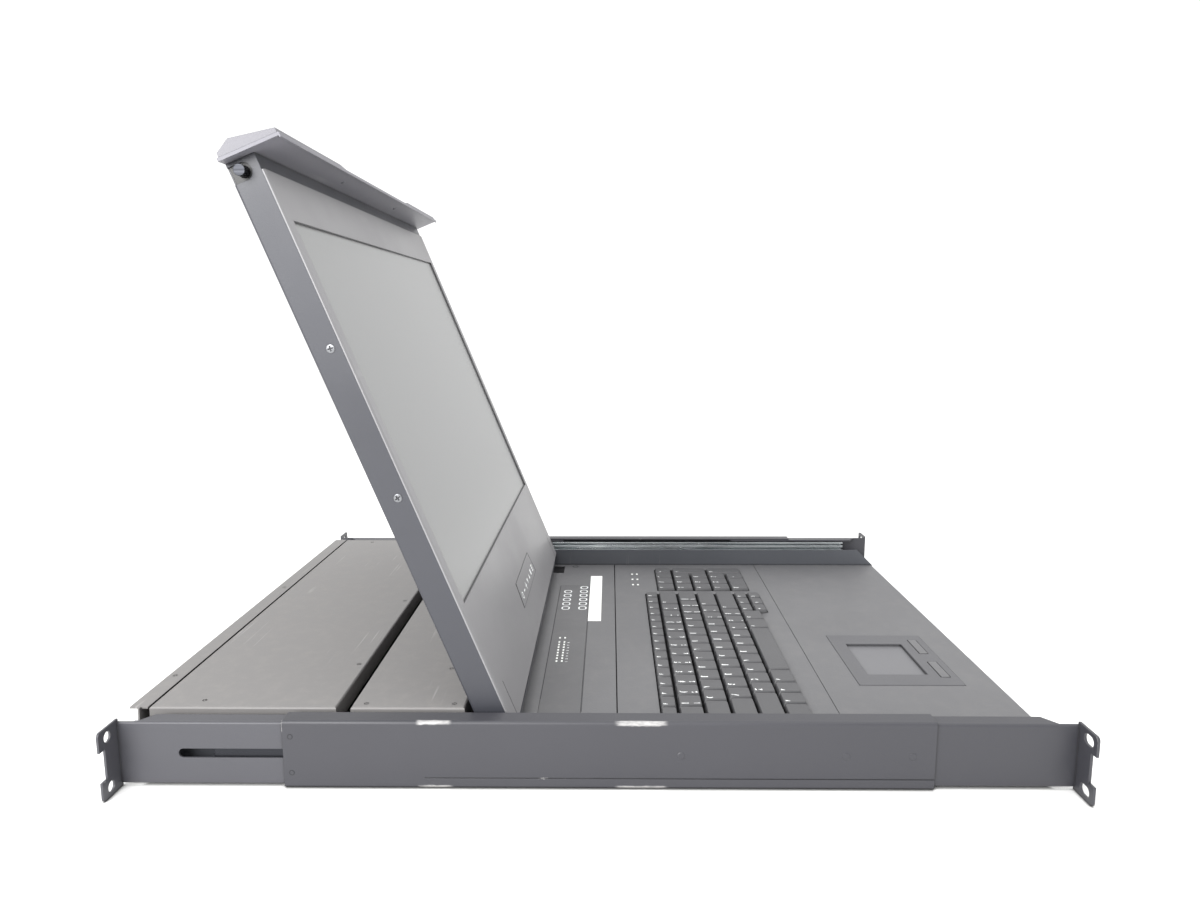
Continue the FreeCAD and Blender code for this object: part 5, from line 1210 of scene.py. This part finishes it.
class CONSOLE_OT_rocker_marks(bpy.types.Operator):
    """Prints the off and on marks on the power rocker"""
    bl_idname = "console.rocker_marks"
    bl_label = "Rocker marks"

    def execute(self, context):
        low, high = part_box("power_rocker")
        faces = sorted(NODES["power_rocker"].data.polygons,
                       key=lambda face: -face.area * max(face.normal.y, 0))
        # the two slopes that a finger presses, each with a point on it
        slopes = []
        for face in faces[:12]:
            if face.normal.y > 0.5 and all((face.normal - known).length > 0.1 for known, _ in slopes):
                slopes.append((face.normal.copy(), face.center.copy()))
        shape = bmesh.new()
        middle = (low + high) / 2
        for normal, centre in slopes[:2]:
            upper = centre.z > middle.z
            z = between(low.z, high.z, 0.78 if upper else 0.22)
            y = centre.y + (centre.z - z) * normal.z / normal.y
            place = facing(Vector((middle.x, y, z)), normal)
            if upper:
                across = Vector((0.3 * MM, 0, 0))
                down = normal.cross(Vector((1.5 * MM, 0, 0)))
                corners = [place.translation + across * dx + down * dz
                           for dx, dz in ((-1, -1), (1, -1), (1, 1), (-1, 1))]
                slab(shape, corners, sizes().ink, normal)
            else:
                loops = [circle(place, radius * MM, 0.0, 20) for radius in (1.6, 1.05)]
                frame_mark(shape, *loops, sizes().ink, normal)
        add_piece("rocker_marks", shape, "rocker", "print_ink")
        return {"FINISHED"}


# place and width of each studio light, and half the floor's width
TOP_LIGHT, SIDE_LIGHT = ((0.1, 0.0, 1.7), 2.2), ((-1.3, 0.65, 0.8), 1.0)
FLOOR_HALF = 4.0


class CONSOLE_OT_stage(bpy.types.Operator):
    """Sets the floor, the soft studio light and the camera"""
    bl_idname = "console.stage"
    bl_label = "Stage"

    def execute(self, context):
        settings = context.scene.console_stage
        self.floor(context)
        self.surroundings(context.scene, settings.sky)
        self.soft_light(context.scene, "top_light", *TOP_LIGHT, settings.top_light)
        self.soft_light(context.scene, "side_light", *SIDE_LIGHT, settings.side_light)
        self.camera(context.scene, settings)
        context.scene.view_settings.view_transform = "Standard"
        return {"FINISHED"}

    def floor(self, context):
        shape = bmesh.new()
        bmesh.ops.create_grid(shape, x_segments=8, y_segments=8, size=FLOOR_HALF,
                              matrix=Matrix.Translation((0, 0, CAD_BOX[0].z - 0.2 * MM)))
        mesh = bpy.data.meshes.new("studio_floor")
        shape.to_mesh(mesh)
        shape.free()
        floor = bpy.data.objects.new("studio_floor", mesh)
        context.scene.collection.objects.link(floor)
        mesh.materials.append(finish("studio_floor", tuple(colours().floor), roughness=0.9, grain=40.0,
                                     grain_depth=0.01, drift=0.02))

    def surroundings(self, scene, strength):
        world = bpy.data.worlds.new("studio_white")
        world.use_nodes = True
        world.node_tree.nodes["Background"].inputs["Color"].default_value = (1.0, 1.0, 1.0, 1.0)
        world.node_tree.nodes["Background"].inputs["Strength"].default_value = strength
        scene.world = world

    def soft_light(self, scene, name, place, width, energy):
        """Square light that looks at the console's middle."""
        light = bpy.data.lights.new(name, "AREA")
        light.shape = "SQUARE"
        light.size = width
        light.energy = energy
        holder = bpy.data.objects.new(name, light)
        holder.matrix_world = facing(Vector(place), Vector(place) - (CAD_BOX[0] + CAD_BOX[1]) / 2)
        scene.collection.objects.link(holder)

    def camera(self, scene, settings):
        dip, turn, roll = settings.camera_dip, settings.camera_turn, settings.camera_roll
        ahead = Vector((math.cos(dip) * math.cos(turn), math.cos(dip) * math.sin(turn), -math.sin(dip)))
        right = ahead.cross(UP).normalized()
        upward = right.cross(ahead)
        leaned_right = right * math.cos(roll) + upward * math.sin(roll)
        leaned_up = upward * math.cos(roll) - right * math.sin(roll)
        eye = bpy.data.cameras.new("studio_camera")
        eye.lens = settings.lens
        eye.sensor_width = 36.0
        eye.clip_start = 0.01
        holder = bpy.data.objects.new("studio_camera", eye)
        turned = Matrix((leaned_right, leaned_up, -ahead)).transposed().to_4x4()
        holder.matrix_world = Matrix.Translation(settings.camera_place) @ turned
        scene.collection.objects.link(holder)
        scene.camera = holder


OPERATORS = (
    CONSOLE_OT_finish_racking, CONSOLE_OT_finish_bay, CONSOLE_OT_finish_deck, CONSOLE_OT_finish_lid,
    CONSOLE_OT_keycaps, CONSOLE_OT_touchpad, CONSOLE_OT_slide_balls, CONSOLE_OT_rail_marks,
    CONSOLE_OT_cover_screws, CONSOLE_OT_lid_screws, CONSOLE_OT_port_faces, CONSOLE_OT_panel_print,
    CONSOLE_OT_menu_icons, CONSOLE_OT_rocker_marks, CONSOLE_OT_stage,
)


class CONSOLE_PT_sidebar(bpy.types.Panel):
    """Lists the console's pieces"""
    bl_idname = "CONSOLE_PT_sidebar"
    bl_label = "Rack Console Drawer"
    bl_space_type = "VIEW_3D"
    bl_region_type = "UI"
    bl_category = "Console"

    def draw(self, context):
        for operator in OPERATORS:
            self.layout.operator(operator.bl_idname)
        for settings in (sizes(), colours(), context.scene.console_stage):
            column = self.layout.column()
            for name in settings.bl_rna.properties.keys():
                if name not in ("rna_type", "name"):
                    column.prop(settings, name)


CLASSES = (ConsoleColours, ConsoleSizes, ConsoleStage, *OPERATORS, CONSOLE_PT_sidebar)


def register():
    for made in CLASSES:
        bpy.utils.register_class(made)
    bpy.types.Scene.console_colours = PointerProperty(type=ConsoleColours)
    bpy.types.Scene.console_sizes = PointerProperty(type=ConsoleSizes)
    bpy.types.Scene.console_stage = PointerProperty(type=ConsoleStage)


def unregister():
    for name in ("console_colours", "console_sizes", "console_stage"):
        delattr(bpy.types.Scene, name)
    for made in reversed(CLASSES):
        bpy.utils.unregister_class(made)


def main():
    register()
    for operator in OPERATORS:
        group, name = operator.bl_idname.split(".")
        getattr(getattr(bpy.ops, group), name)()


if __name__ == "__main__":
    main()
